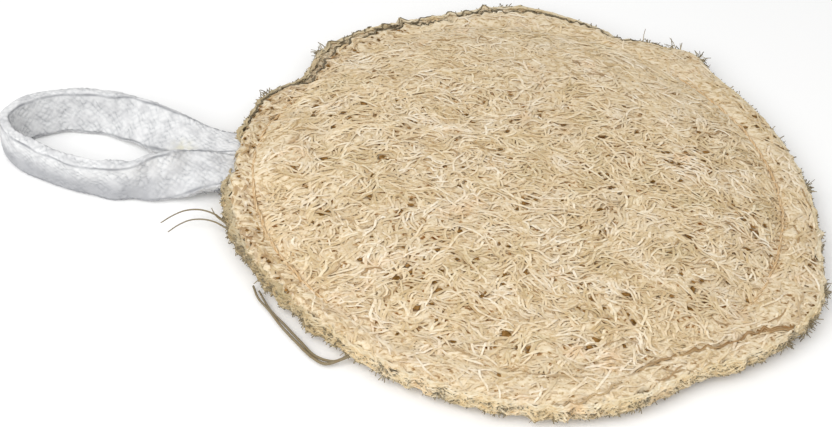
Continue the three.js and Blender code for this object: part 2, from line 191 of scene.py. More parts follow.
def over_tape(x, y):
    """1 over the tape's ends: the exponential of minus the sixth power of Y, rising along -X."""
    across = np.exp(-np.power(np.abs(y) / HUMP_HALF, 6))
    return across * smoothstep(-x, HUMP_START, HUMP_END)


def top_height(x, y):
    """Inside the seam one minus an exponential of the distance from it; outside it a low
    half sine on a straight slope down to the rim; both lifted where the tape lies."""
    u = spread_at(x, y, front_rim)
    hump = HUMP_TOP * over_tape(x, y)
    out = np.clip(u - 1, 0, 1)
    flap = lerp(SEAM_TOP, RIM_TOP, out) + FLAP_SWELL * np.sin(math.pi * out)
    inside = np.maximum(0, 1 - u) * SEAM_RADIUS
    dome = SEAM_TOP + (DOME_TOP - SEAM_TOP) * (1 - np.exp(-inside / DOME_REACH))
    return np.where(u > 1, flap, dome) + hump


def foot_height(x, y):
    """The underside: nearly flat with a round spot that rests on the table, and bent up to
    the seam along an exponential."""
    u = spread_at(x, y, back_rim)
    hump = HUMP_FOOT * over_tape(x, y)
    out = np.clip(u - 1, 0, 1)
    flap = lerp(SEAM_FOOT, RIM_FOOT, out) - FLAP_SWELL * np.sin(math.pi * out)
    inside = np.maximum(0, 1 - u) * SEAM_RADIUS
    swell = (SEAM_FOOT - CREST + UNDER_DIP) * np.exp(-inside / UNDER_REACH)
    rise = np.maximum(0, swell - UNDER_DIP)
    rest = CREST * smoothstep(np.hypot(x, y), REST_SPOT, REST_BLEND) + rise
    return np.where(u > 1, flap, rest) - hump


def middle_height(x, y):
    """Height where the two sheets meet: low at the rim and eased up to the middle."""
    inside = (1 - spread_at(x, y, back_rim)) * SEAM_RADIUS
    return lerp(MID_RIM, MID_CENTRE, smoothstep(inside, MID_START, MID_END))


def pocket(x, y):
    """1 where the tape ends lie between the sheets, 0 elsewhere, with a soft edge."""
    near = smoothstep(y, NEAR_END_Y - NEAR_END_WIDTH / 2 - 1.5, NEAR_END_Y - NEAR_END_WIDTH / 2)
    far = 1 - smoothstep(y, FAR_END_Y + FAR_END_WIDTH / 2, FAR_END_Y + FAR_END_WIDTH / 2 + 1.5)
    return near * far * smoothstep(-x, -TAPE_END_X - 1.5, -TAPE_END_X)


def soft_noise(x, y, size, seed, count=14):
    """Smooth noise with a spread of one: the sum of sine waves in seeded directions whose
    lengths lie within a third of the given size, divided by the root of half their number."""
    rng = np.random.default_rng(seed)
    total = np.zeros_like(x)
    for _ in range(count):
        heading = rng.uniform(0, 2 * math.pi)
        number = 2 * math.pi / (size * rng.uniform(0.75, 1.35))
        phase = rng.uniform(0, 2 * math.pi)
        total += np.sin(number * (x * math.cos(heading) + y * math.sin(heading)) + phase)
    return total / math.sqrt(count / 2)


# What the looks add to the form, in millimetres and radians
FAR_MIDDLE = 2.02  # on the far side the front sheet ends short of the back one, which curls up
FAR_HALF = 0.78
FAR_STEP = 3.7
FAR_RISE = 1.35
FAR_CURL = (0.8, 4.4)  # distances from the rim between which it rises
NEAR_MIDDLE = -1.45  # on the near side the fibres fill up the groove of the seam
NEAR_HALF = 0.85
GROOVE_FILL = 0.85
SHEETS_MEET = 5.2
EDGE_REACH = 1.4  # how far in the rounding of the rim begins
FOLD_DEEP = 1.0
FOLD_HALF = 0.55
FOLD_ROUTE = (
    (-44.5, -54.5), (-38, -61), (-32.5, -66), (-29.4, -67.7), (-22.5, -71.4), (-12, -73.8),
    (-4.7, -75), (4.2, -75.2), (9.8, -74.3), (15.5, -71.4), (21, -66.5), (26.8, -61.4),
    (37.1, -55.9), (45.6, -52.1), (55, -46.3), (60, -44.5), (65, -43.5),
)


def bell(theta, middle, half):
    """1 near the middle direction and 0 away from it: the exponential of minus the fourth
    power of the turn from it over the half width."""
    turn = np.arctan2(np.sin(theta - middle), np.cos(theta - middle))
    return np.exp(-(turn / half) ** 4)


def ragged(theta, seed):
    """How far the scissors strayed at the rim, in millimetres: noise of two sizes, more of it
    on the far side."""
    x, y = PAD_RADIUS * np.cos(theta), PAD_RADIUS * np.sin(theta)
    more = 1 + 0.9 * bell(theta, FAR_MIDDLE, FAR_HALF)
    return more * (0.34 * soft_noise(x, y, 4.2, seed) + 0.26 * soft_noise(x, y, 1.9, seed + 1))


def front_edge(theta):
    """The front sheet's cut edge: its rim, drawn in by a step on the far side, and ragged."""
    return front_rim(theta) - FAR_STEP * bell(theta, FAR_MIDDLE, FAR_HALF) + ragged(theta, 81) - 0.15


def back_edge(theta):
    """The back sheet's cut edge: its rim, moved towards +Y instead on the far side, and ragged."""
    beyond = 2 * SHEET_SLIP * np.sin(theta) * bell(theta, FAR_MIDDLE, FAR_HALF)
    return back_rim(theta) + beyond + ragged(theta, 83) - 0.15


def edge_share(inside):
    """0 well inside the rim and 1 at it: a quarter of an oblong whose corners are rounded
    with the power 2.5."""
    t = np.clip(1 - inside / EDGE_REACH, 0, 1)
    return 1 - (1 - t ** 2.5) ** 0.4


def smooth_route(points, count):
    """A smooth curve through the points, divided evenly: a Catmull-Rom spline whose spans
    take the square root of their length as their time, mirrored past both ends."""
    p = np.asarray(points, dtype=float)
    p = np.concatenate([[2 * p[0] - p[1]], p, [2 * p[-1] - p[-2]]])
    fine = []
    for a, b, c, d in zip(p[:-3], p[1:-2], p[2:-1], p[3:]):
        ab, bc, cd = (math.sqrt(np.linalg.norm(v)) for v in (b - a, c - b, d - c))
        m1 = ((b - a) / ab - (c - a) / (ab + bc) + (c - b) / bc) * bc
        m2 = ((c - b) / bc - (d - b) / (bc + cd) + (d - c) / cd) * bc
        t = np.linspace(0, 1, 40, endpoint=False)[:, None]
        bend = (3 * (c - b) - 2 * m1 - m2) * t ** 2 + (2 * (b - c) + m1 + m2) * t ** 3
        fine.append(b + m1 * t + bend)
    fine = np.concatenate(fine + [p[-2:-1]])
    travelled = np.concatenate([[0], np.cumsum(np.linalg.norm(np.diff(fine, axis=0), axis=1))])
    even = np.linspace(0, travelled[-1], count)
    return np.stack([np.interp(even, travelled, fine[:, k]) for k in range(p.shape[1])], axis=-1)


FOLD_LINE = smooth_route(FOLD_ROUTE, 160)


def fold(x, y):
    """Depth from 0 to 1 of the fold across the near margin: a bell of the distance from its
    line, shallow at both ends of it and waving in depth."""
    nearest = np.full(np.shape(x), 99.0)
    place = np.zeros(np.shape(x))
    for number, (lx, ly) in enumerate(FOLD_LINE):
        away = np.hypot(x - lx, y - ly)
        place = np.where(away < nearest, number / len(FOLD_LINE), place)
        nearest = np.minimum(nearest, away)
    depth = smoothstep(place, 0, 0.12) * (1 - smoothstep(place, 0.93, 1))
    depth = depth * lerp(0.55, 1, smoothstep(place, 0.55, 0.8))
    depth = depth * np.clip(0.7 + 0.6 * soft_noise(x, y, 5.0, 61), 0.1, 1)
    return depth * np.exp(-(nearest / FOLD_HALF) ** 2)


def top_face(x, y):
    """The solid's top with its near groove filled up and a fold, rounded down at the rim to
    the height where the sheets meet."""
    theta = np.arctan2(y, x)
    r = np.hypot(x, y)
    near = bell(theta, NEAR_MIDDLE, NEAR_HALF)
    top = top_height(x, y) + GROOVE_FILL * near * np.exp(-((r - seam_radius(theta)) / 5.0) ** 2)
    foot = SHEETS_MEET + 1.55 * pocket(x, y)
    return top - FOLD_DEEP * fold(x, y) - (top - foot) * edge_share(front_edge(theta) - r)


def under_face(x, y):
    """The solid's underside, rounded up at the rim."""
    theta = np.arctan2(y, x)
    foot = foot_height(x, y)
    meet = SHEETS_MEET - 0.1 - 1.4 * pocket(x, y)
    return foot + (meet - foot) * edge_share(back_edge(theta) - np.hypot(x, y))


def strip_face(x, y):
    """The back sheet's upper side, which curls up on the far side beyond the front sheet."""
    theta = np.arctan2(y, x)
    inside = back_edge(theta) - np.hypot(x, y)
    far = bell(theta, FAR_MIDDLE, FAR_HALF)
    rise = FAR_RISE * far * smoothstep(-inside, -FAR_CURL[1], -FAR_CURL[0])
    top = middle_height(x, y) - SHEET_GAP / 2 + rise
    return top - (top - SHEETS_MEET + 0.1) * edge_share(inside)


# Meshes

def make_piece(name, points, quads, triangles, material, slot_name, attributes, smooth=True):
    """One mesh object at the origin from arrays of points in millimetres, four-sided and
    three-sided faces, riding on the pad's only body. Nothing goes below the table."""
    mesh = bpy.data.meshes.new(name)
    points = np.array(points)
    points[:, 2] = np.maximum(points[:, 2], 0)
    loops = np.concatenate([np.ravel(quads), np.ravel(triangles)]).astype(np.int32)
    totals = np.repeat([4, 3], [len(quads), len(triangles)]).astype(np.int32)
    starts = (np.cumsum(totals) - totals).astype(np.int32)
    mesh.vertices.add(len(points))
    mesh.vertices.foreach_set("co", (points * MM).ravel())
    mesh.loops.add(len(loops))
    mesh.loops.foreach_set("vertex_index", loops)
    mesh.polygons.add(len(totals))
    mesh.polygons.foreach_set("loop_start", starts)
    mesh.polygons.foreach_set("loop_total", totals)
    mesh.polygons.foreach_set("use_smooth", np.full(len(totals), smooth))
    mesh.update(calc_edges=True)
    for key, values in attributes.items():
        layer = mesh.attributes.new(key, "FLOAT", "POINT")
        layer.data.foreach_set("value", np.asarray(values, dtype=np.float32))
    mesh.validate()
    piece = bpy.data.objects.new(name, mesh)
    bpy.context.scene.collection.objects.link(piece)
    piece.data.materials.append(material)
    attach(piece, "root")
    return piece


def grid_quads(rows, columns):
    """Faces of a grid of rows by columns points, closed round its columns."""
    row = columns * np.arange(rows - 1)[:, None]
    column = np.arange(columns)[None, :]
    following = (column + 1) % columns
    above = row + columns
    corners = [row + column, row + following, above + following, above + column]
    return np.stack(corners, axis=-1).reshape(-1, 4)


def closed_rings(rings, first, last):
    """Points, quads and triangles of rings by corners points, closed at both ends by a fan of
    triangles to the first and the last point."""
    rows, columns = rings.shape[:2]
    points = np.concatenate([rings.reshape(-1, 3), [first, last]])
    corner = np.arange(columns)
    following = (corner + 1) % columns
    pole = np.full(columns, rows * columns)
    base = (rows - 1) * columns
    start = np.stack([pole, following, corner], axis=-1)
    end = np.stack([pole + 1, base + corner, base + following], axis=-1)
    return points, grid_quads(rows, columns), np.concatenate([start, end])


def tubes(paths, radii, sides, squash=1.0):
    """Closed tubes round many paths at once. paths is tubes by points by 3 and radii is tubes
    by points. Each ring is a regular polygon square to the path, its height times squash."""
    number, count = paths.shape[:2]
    along = np.gradient(paths, axis=1)
    along /= np.maximum(np.linalg.norm(along, axis=2, keepdims=True), 1e-9)
    sideways = np.cross(along, [0.0, 0.0, 1.0])
    upright = np.linalg.norm(sideways, axis=2, keepdims=True) < 1e-3
    sideways = np.where(upright, np.cross(along, [1.0, 0.0, 0.0]), sideways)
    sideways /= np.linalg.norm(sideways, axis=2, keepdims=True)
    above = np.cross(sideways, along)
    angle = (2 * math.pi * (np.arange(sides) + 0.25) / sides)[None, None, :, None]
    ring = sideways[:, :, None] * np.cos(angle) + squash * above[:, :, None] * np.sin(angle)
    points = paths[:, :, None] + radii[:, :, None, None] * ring
    start = (np.arange(number) * count * sides)[:, None, None]
    fan = np.array([[0, k, k + 1] for k in range(1, sides - 1)])
    caps = np.concatenate([fan, (count - 1) * sides + fan[:, ::-1]])
    quads = (grid_quads(count, sides)[:, ::-1] + start).reshape(-1, 4)
    return points.reshape(-1, 3), quads, (caps + start).reshape(-1, 3)


def tube_piece(name, x, y, z, radii, sides, material, slot_name, squash=1.0, smooth=True, **values):
    """One piece of many tubes, from arrays of tubes by points. The other values become
    attributes of the same name, the same all round each ring."""
    paths = np.stack(np.broadcast_arrays(x, y, z), axis=-1)
    shape = paths.shape[:2]
    arrays = tubes(paths, np.broadcast_to(radii, shape), sides, squash)
    attributes = {key: np.repeat(np.broadcast_to(value, shape).ravel(), sides)
                  for key, value in values.items()}
    return make_piece(name, *arrays, material, slot_name, attributes, smooth)


# Materials
NOISE = "ShaderNodeTexNoise"
RAMP = "ShaderNodeValToRGB"
MIX = "ShaderNodeMix"
BUMP = "ShaderNodeBump"
ATTRIBUTE = "ShaderNodeAttribute"
MULTIPLIED = {"data_type": "RGBA", "blend_type": "MULTIPLY"}
MIXED = {"data_type": "RGBA", "blend_type": "MIX"}


def linear(code):
    """A hexadecimal sRGB colour as linear red, green, blue and 1."""
    values = [int(code[i:i + 2], 16) / 255 for i in (1, 3, 5)]
    return tuple(v / 12.92 if v <= 0.04045 else ((v + 0.055) / 1.055) ** 2.4 for v in values) + (1.0,)


def add_node(tree, kind, settings, links):
    """One node with its settings and links. A setting's key is the name of a property, the
    name or number of an input, or "stops" for the places and colours of a ramp, and a text
    that starts with # is a colour. A link's key is the name or number of an input and its
    value is another node's output."""
    node = tree.nodes.new(kind)
    for key, value in settings.items():
        if isinstance(value, str) and value.startswith("#"):
            value = linear(value)
        if key == "stops":
            elements = node.color_ramp.elements
            while len(elements) < len(value):
                elements.new(0.5)
            for element, (place, code) in zip(elements, value):
                element.position = place
                element.color = linear(code)
        elif isinstance(key, int) or key in node.inputs:
            node.inputs[key].default_value = value
        else:
            setattr(node, key, value)
    for key, source in links.items():
        tree.links.new(source, node.inputs[key])
    return node


def new_material(name, roughness, specular, fields, noises):
    """An empty material with its roughness and shine, and the outputs that it is coloured by:
    one for each attribute of the pieces, then one for each noise, which is given as the size of
    its features in millimetres, its detail and its scale along X against the others."""
    material = bpy.data.materials.new(name)
    material.use_nodes = True
    tree = material.node_tree
    shader = tree.nodes["Principled BSDF"]
    shader.inputs["Roughness"].default_value = roughness
    shader.inputs["Specular IOR Level"].default_value = specular
    places = add_node(tree, "ShaderNodeTexCoord", {}, {}).outputs["Object"]
    outputs = [add_node(tree, ATTRIBUTE, {"attribute_name": field}, {}).outputs["Fac"] for field in fields]
    for size, detail, stretch in noises:
        drawn = add_node(tree, "ShaderNodeMapping", {"Scale": (stretch, 1.0, 1.0)}, {"Vector": places})
        noise = add_node(tree, NOISE, {"Scale": 1 / (size * MM), "Detail": detail},
                         {"Vector": drawn.outputs["Vector"]})
        outputs.append(noise.outputs["Fac"])
    return material, *outputs


def painted(material, colour, bump=None):
    """The material once a colour, and a bump where it has one, are led to its shader."""
    tree = material.node_tree
    shader = tree.nodes["Principled BSDF"]
    tree.links.new(colour, shader.inputs["Base Color"])
    if bump:
        tree.links.new(bump.outputs["Normal"], shader.inputs["Normal"])
    return material


def loofah_fibre_material(name, stops, shade_and_brown):
    """Dry plant fibre: each fibre has its own tone. The depth attribute mixes in a dark brown, so
    that it is browner the deeper it lies: painted shade on fibres that lie deeper, dive into the
    mat or lie in the fold, and on the cut rim's lower part, ends and edges, and the fibres' own
    brown on the few brown ones. Slow patches are a little pinker, yellower or greyer, as the
    dried pulp leaves them. The bump stands for the fibre's fine ridges, which are nearer
    0.05 mm and too fine to show."""
    material, tone, depth, seam, patch, fleck, ridge = new_material(
        name, 0.8, 0.25, ("tone", "depth", "seam"), ((11.0, 2.0, 1.0), (0.9, 2.0, 1.0), (0.25, 2.0, 1.0)))
    tree = material.node_tree
    pulp = ((0.3, "#f3efe2"), (0.45, "#fbf5e9"), (0.6, "#ffffff"), (0.72, "#fff5ea"))
    pale = ((0.3, "#efe4d0"), (0.55, "#ffffff"))
    fibre = add_node(tree, RAMP, {"stops": stops}, {"Fac": tone}).outputs[0]
    patches = add_node(tree, RAMP, {"stops": pulp}, {"Fac": patch}).outputs[0]
    flecks = add_node(tree, RAMP, {"stops": pale}, {"Fac": fleck}).outputs[0]
    colour = add_node(tree, MIX, {**MULTIPLIED, 0: 1.0}, {6: fibre, 7: patches}).outputs[2]
    colour = add_node(tree, MIX, {**MULTIPLIED, 0: 0.8}, {6: colour, 7: flecks}).outputs[2]
    # Painted shade: depth mixes in the dark brown that stands for shade on deeper fibres, as well as the own
    # brown of the brown fibres
    for share, shade in ((seam, "#d3ad7c"), (depth, shade_and_brown)):
        colour = add_node(tree, MIX, {**MIXED, 7: shade}, {0: share, 6: colour}).outputs[2]
    return painted(material, colour,
                   add_node(tree, BUMP, {"Strength": 0.3, "Distance": 0.0001}, {"Height": ridge}))


def loofah_mat_material():
    """The felted mat under the top fibres: nearly as pale as they are, with short brown slits
    between its threads, fewer where it is felted. It is dark brown in the hollows, partly the
    deeper fibres' own brown and partly painted shade, and along the fold as painted shade, and
    greyer with dark specks where the rim was cut. Its threads are drawn 0.8 mm apart, about
    twice as far as real ones, so that they show."""
    material, felt_share, wall, pit, threads, speck = new_material(
        "loofah_mat", 0.9, 0.15, ("felt", "wall", "pit"), ((0.8, 3.0, 0.5), (0.9, 2.0, 1.0)))
    tree = material.node_tree
    open_stops = ((0.34, "#6f441c"), (0.41, "#a87d4c"), (0.48, "#d2bc96"), (0.66, "#e3d3b6"))
    felt_stops = ((0.3, "#9a7747"), (0.38, "#cbb691"), (0.5, "#decdae"), (0.68, "#e7d9bf"))
    cut_stops = ((0.34, "#5f5647"), (0.42, "#aea289"), (0.54, "#d8ccb2"))
    colour = add_node(tree, RAMP, {"stops": open_stops}, {"Fac": threads}).outputs[0]
    felt = add_node(tree, RAMP, {"stops": felt_stops}, {"Fac": threads}).outputs[0]
    cut = add_node(tree, RAMP, {"stops": cut_stops}, {"Fac": speck}).outputs[0]
    colour = add_node(tree, MIX, MIXED, {0: felt_share, 6: colour, 7: felt}).outputs[2]
    colour = add_node(tree, MIX, MIXED, {0: wall, 6: colour, 7: cut}).outputs[2]
    # Painted shade, partly the deeper fibres' own brown: the pit colour darkens the hollows and the fold
    colour = add_node(tree, MIX, {**MIXED, 7: "#7a5228"}, {0: pit, 6: colour}).outputs[2]
    return painted(material, colour,
                   add_node(tree, BUMP, {"Strength": 0.7, "Distance": 0.0003}, {"Height": threads}))


def mottled_material(name, roughness, specular, size, stops):
    """One matt colour that varies a little in patches of a size: brown plant fibre in the shade
    at the bottom of a hollow, and the pale seamless paper of the floor."""
    material, shade = new_material(name, roughness, specular, (), ((size, 2.0, 1.0),))
    tree = material.node_tree
    return painted(material, add_node(tree, RAMP, {"stops": stops}, {"Fac": shade}).outputs[0])


def cotton_material():
    """Soft white braided cotton. Painted shade greys it in the hollows between its yarns, along
    the creases of its edges and low on the near strand of the loop. Its fuzz is drawn 0.18 mm
    wide, because single cotton fibres of 0.02 mm are too fine to show."""
    material, relief, crease, stain, soiled, cloud, fuzz = new_material(
        "cotton_tape", 0.88, 0.15, ("relief", "crease", "stain", "soiled"),
        ((2.6, 3.0, 1.0), (0.18, 2.0, 1.0)))
    tree = material.node_tree
    yarn_stops = ((0.0, "#b3b4b6"), (0.4, "#d0d1d2"), (1.0, "#e3e3e3"))
    cloud_stops = ((0.36, "#e8e8e9"), (0.58, "#ffffff"))
    # Painted shade: the yarn ramp greys the low relief between the yarns
    yarn = add_node(tree, RAMP, {"stops": yarn_stops}, {"Fac": relief}).outputs[0]
    clouds = add_node(tree, RAMP, {"stops": cloud_stops}, {"Fac": cloud}).outputs[0]
    colour = add_node(tree, MIX, {**MULTIPLIED, 0: 1.0}, {6: yarn, 7: clouds}).outputs[2]
    # The crease and near strand greys are painted shade; stain is a real stain
    for share, shade in ((crease, "#707176"), (stain, "#d2cba0"), (soiled, "#9c9da1")):
        colour = add_node(tree, MIX, {**MIXED, 7: shade}, {0: share, 6: colour}).outputs[2]
    return painted(material, colour,
                   add_node(tree, BUMP, {"Strength": 0.4, "Distance": 0.0001}, {"Height": fuzz}))


def thread_material():
    """Twisted orange-tan sewing thread, paled by dust and stray fibres, and darker between its plies as
    painted shade.
    """
    material, relief, dust = new_material("seam_thread", 0.75, 0.2, ("relief",), ((1.6, 3.0, 1.0),))
    tree = material.node_tree
    dust_stops = ((0.35, "#cfae81"), (0.6, "#e1caa6"))
    thread = add_node(tree, RAMP, {"stops": dust_stops}, {"Fac": dust}).outputs[0]
    return painted(material, add_node(tree, MIX, {**MIXED, 6: "#ae8c60"}, {0: relief, 7: thread}).outputs[2])


# Colours of the fibres, from the darkest to the palest tone
FRONT_TONES = ((0.0, "#d3c1a0"), (0.4, "#e1d2b6"), (0.7, "#eaddc6"), (1.0, "#f2e9d6"))
RIM_TONES = ((0.0, "#988c74"), (0.3, "#c4b697"), (0.65, "#dccfb2"), (1.0, "#ebe0c8"))
# The hollow bottoms' browns are partly the deeper fibres' own colour and partly painted shade
HOLLOW_BROWNS = ((0.35, "#5f431c"), (0.65, "#967040"))
PAPER_WHITES = ((0.3, "#fbfbfa"), (0.7, "#fdfdfd"))

front_fibre = loofah_fibre_material("loofah_front_fibre", FRONT_TONES, "#8f683a")
rim_fibre = loofah_fibre_material("loofah_cut_fibre", RIM_TONES, "#5c5445")
loofah_mat = loofah_mat_material()
loofah_hollow = mottled_material("loofah_hollow", 0.95, 0.05, 1.2, HOLLOW_BROWNS)
cotton = cotton_material()
sewing_thread = thread_material()
paper = mottled_material("paper_floor", 0.9, 0.1, 120.0, PAPER_WHITES)


# Hollows: a few that the net leaves open in plain view, then many small ones a few together.
# Each is its middle's place in millimetres and a size from 2 to 4.
OPEN_HOLLOWS = (
    (-32, -44, 3), (-34, -43, 2), (-22, -47, 3), (-18, -28, 3), (-19, -24, 2), (-26, -44, 2), (7, -33, 3),
    (8, -39, 3), (15, -35, 2), (-2, -40, 2), (16, -16, 3), (17, -51, 2), (-12, -48, 2), (-27, -52, 3),
    (-6, -58, 4), (15, -57, 4), (13, -59, 3), (-1, -61, 2), (53, -21, 3), (45, 4, 2), (45, 13, 3),
    (38, -21, 3), (33, -28, 2), (61, 37, 3), (67, 24, 3), (21, -43, 3), (38, -38, 3), (37, -44, 3),
    (52, -37, 2), (-52, -4, 3), (-40, -10, 3), (-39, -14, 3), (-51, -24, 3), (-66, 15, 3), (-56, 13, 2),
    (-44, 19, 3), (-38, -3, 3), (-46, 5, 2),
)
HOLLOW_RADIUS = 0.2  # for each step of size
HOLLOW_WIDE = 1.35
HOLLOW_GROUPS = 170
HOLLOW_REACH = 66.0
HOLLOWS_END = 34.0  # past this Y the net is too felted for them
SMALL_HOLLOWS = (0.22, 0.46)
HOLLOW_BOTTOM = 0.3
RIM_HOLLOWS = 170
RIM_HOLLOW_SIZE = (0.18, 0.36)


def place_hollows():
    """Middles and radii of all the hollows between the fibres."""
    rng = np.random.default_rng(77)
    places = [(x, y, HOLLOW_RADIUS * size) for x, y, size in OPEN_HOLLOWS]
    for _ in range(HOLLOW_GROUPS):
        theta = rng.uniform(-math.pi, math.pi)
        r = HOLLOW_REACH * math.sqrt(rng.uniform(0, 1))
        if r * math.sin(theta) > HOLLOWS_END:
            continue
        for _ in range(rng.integers(1, 5)):
            dx, dy = rng.normal(0, 3.0, 2)
            size = rng.uniform(*SMALL_HOLLOWS)
            places.append((r * math.cos(theta) + dx, r * math.sin(theta) + dy, size))
    for _ in range(RIM_HOLLOWS):
        by_loop = rng.uniform() < 0.6
        theta = math.pi + rng.uniform(-1.1, 0.75) if by_loop else rng.uniform(-0.7, 1.0)
        r = float(front_edge(theta)) - EDGE_REACH * 0.6 - 4.5 * rng.uniform(0, 1) ** 1.5
        places.append((r * math.cos(theta), r * math.sin(theta), rng.uniform(*RIM_HOLLOW_SIZE)))
    return places


HOLLOWS = place_hollows()


def hollow_reach(x, y):
    """Distance to the nearest hollow's middle in radii of that hollow; they are wider along X."""
    reach = np.full(x.shape, np.inf)
    for px, py, radius in HOLLOWS:
        reach = np.minimum(reach, np.hypot((x - px) / HOLLOW_WIDE, y - py) / radius)
    return reach


def hollow_piece():
    """The dark bottoms of the hollows: uneven ovals, wider along X, a little under the fibres. Their brown
    is partly the deeper fibres' own colour and partly painted shade.
    """
    rng = np.random.default_rng(78)
    corners = 11
    turn = 2 * math.pi * np.arange(corners) / corners
    points = []
    for px, py, radius in HOLLOWS:
        size = radius * 1.1 * (1 + 0.22 * rng.uniform(-1, 1, corners))
        lean = rng.normal(0, 0.5)
        dx, dy = 1.45 * size * np.cos(turn), 0.9 * size * np.sin(turn)
        x = np.append(px + dx * math.cos(lean) - dy * math.sin(lean), px)
        y = np.append(py + dx * math.sin(lean) + dy * math.cos(lean), py)
        points.append(np.stack([x, y, top_face(x, y) - HOLLOW_BOTTOM], axis=-1))
    corner = np.arange(corners)
    fan = np.stack([np.full(corners, corners), corner, (corner + 1) % corners], axis=-1)
    starts = (corners + 1) * np.arange(len(HOLLOWS))[:, None, None]
    return make_piece("front_hollow_bottoms", np.concatenate(points), np.zeros((0, 4)),
                      (fan + starts).reshape(-1, 3), loofah_hollow, "loofah_front", {})


# Mats: the felt that shows between the fibres
MAT_RECESS = 0.52
MAT_STEP = 1.0
WALL_INSETS = (1.2, 0.9, 0.6, 0.35, 0.15, 0.03)
WALL_ROUGH = 0.3
MARGIN_RINGS = 7
INNER_INSETS = (0.5, 1.4, 2.4, 3.6, 5.0, 9.0, 16.0, 28.0, 44.0, 60.0)
INNER_WALL = 0.5  # how much the inner face looks like the cut rim


def felted(x, y):
    """How far the threads are felted together, from 0 to 1: wholly over the tape ends, much
    on the margin outside the seam, and in slow patches elsewhere."""
    patches = np.clip(0.15 + 0.4 * soft_noise(x, y, 8.0, 71), 0, 0.8)
    margin = 0.5 * smoothstep(spread_at(x, y, front_rim), 0.9, 1.25)
    far = 0.8 * smoothstep(y + 0.25 * x, 12, 60)
    return np.clip(0.75 * over_tape(x, y) + margin + far + patches * (1 - 0.5 * margin), 0, 0.9)


def mat_piece(name, edge, face, inner_height, side, turns, slot_name):
    """One sheet without its top fibres: rings from the middle of its outer face to the rim,
    round the rim, and back over the face that meets the other sheet. The outer face lies a
    recess under the fibres' face, less where it is felted, and is roughened by two sizes of
    noise."""
    theta = -math.pi + 2 * math.pi * np.arange(turns) / turns
    seam = seam_radius(theta)
    limit = edge(theta) - EDGE_REACH
    steps = round(SEAM_RADIUS / MAT_STEP)
    within = np.arange(1, steps + 1)[:, None] / steps
    outside = np.arange(1, MARGIN_RINGS + 1)[:, None] / MARGIN_RINGS
    walls = np.array(WALL_INSETS)[:, None]
    r = np.concatenate([within * seam, lerp(seam, limit, outside), limit + EDGE_REACH - walls])
    wall = np.concatenate([np.zeros((steps + MARGIN_RINGS, 1)), 1 - walls / EDGE_REACH])
    x, y = r * np.cos(theta), r * np.sin(theta)
    felt = felted(x, y)
    pit = np.exp(-(hollow_reach(x, y) / 1.5) ** 2) if side > 0 else np.zeros_like(x)
    rough = 0.16 * soft_noise(x, y, 3.0, 5) + 0.14 * soft_noise(x, y, 1.7, 6)
    deep = MAT_RECESS * (1 - 0.65 * felt) - rough * (1 - 0.35 * felt) + 0.7 * pit
    if side > 0:
        # The fold gets the pit colour too, as painted shade in its crease
        pit = np.maximum(pit, 0.65 * fold(x, y))
    z = face(x, y) - side * deep * (1 - wall) * smoothstep(np.hypot(x, y), -1, 3)
    waves = WALL_ROUGH * soft_noise(PAD_RADIUS * theta + 0 * z, 2 * z + 40 * side, 2.4, 9)
    shift = 1 + wall * (waves - 0.45) / np.hypot(x, y)
    outer = np.stack([x * shift, y * shift, z], axis=-1)
    pale = (1 - 0.85 * bell(theta, NEAR_MIDDLE, 1.1)) * (1 - 0.7 * bell(theta, FAR_MIDDLE, 1.0))

    r = limit + EDGE_REACH - np.array(INNER_INSETS)[:, None]
    x, y = r * np.cos(theta), r * np.sin(theta)
    inner = np.stack([x, y, inner_height(x, y)], axis=-1)
    zero = np.zeros(1)
    first = [0, 0, face(zero, zero)[0] - side * 0.4]
    last = [0, 0, inner_height(zero, zero)[0]]
    points, quads, fans = closed_rings(np.concatenate([outer, inner]), first, last)
    if side > 0:
        quads, fans = quads[:, ::-1], fans[:, ::-1]
    fields = (("pit", pit * (1 - wall), 0), ("wall", wall * pale, INNER_WALL), ("felt", felt, 0))
    attributes = {key: np.concatenate([values.ravel(), np.full(x.size, rest), [0, rest]])
                  for key, values, rest in fields}
    return make_piece(name, points, quads, fans, loofah_mat, slot_name, attributes)


def front_inner(x, y):
    """The front sheet's lower face, hollowed over the tape's ends."""
    return middle_height(x, y) + SHEET_GAP / 2 + 1.35 * pocket(x, y)


def back_inner(x, y):
    """The back sheet's upper face, under its fibres and hollowed under the tape's ends."""
    return strip_face(x, y) - 0.3 - 1.35 * pocket(x, y)


# Fibres
HALF_STEPS = 12
FIBRE_OVERHANG = 0.5
FIBRE_WEAVE = 0.08
FIBRE_SQUASH = 0.42  # they are pressed flat
FIBRES_PART = 0.55  # depth of the fold at which a fibre ends
SEAM_FADES = 1.85  # the direction where the fibres hide the seam on the far side
LOOP_SIDE_HALF = 1.0  # half width of the margin by the loop, which is darker in spots


def grain(x, y):
    """Direction of the fibres: along X, turned by noise of three sizes and towards the middle
    in the part nearest the loop, and drawn towards the direction of the rim near it."""
    theta = np.arctan2(y, x)
    turned = 0.9 * np.exp(-((x + 47) ** 2 + (y + 24) ** 2) / 20 ** 2)
    along = (0.28 * soft_noise(x, y, 46.0, 21) + 0.26 * soft_noise(x, y, 17.0, 22)
             + 0.5 * soft_noise(x, y, 7.5, 23) + turned)
    follow = 0.35 * smoothstep(np.hypot(x, y), 46, 66)
    follow = follow + 0.3 * smoothstep(spread_at(x, y, front_rim), 0.98, 1.3)
    doubled = (1 - follow) * np.exp(2j * along) + follow * np.exp(2j * (theta + math.pi / 2))
    return np.angle(doubled) / 2


def grow(x, y, turn, swing, wave, phase, step):
    """Half of the plans of many fibres: each step goes along the grain, turned by the fibre's
    own angle and by a swing times the sine of the distance."""
    heading = grain(x, y)
    plan = [(x, y)]
    for number in range(HALF_STEPS):
        along = grain(x, y)
        heading = along + math.pi * np.round((heading - along) / math.pi)
        angle = heading + turn + swing * np.sin(2 * math.pi * number * step / wave + phase)
        x = x + step * np.cos(angle)
        y = y + step * np.sin(angle)
        plan.append((x, y))
    return np.moveaxis(np.array(plan), (0, 1, 2), (1, 2, 0))


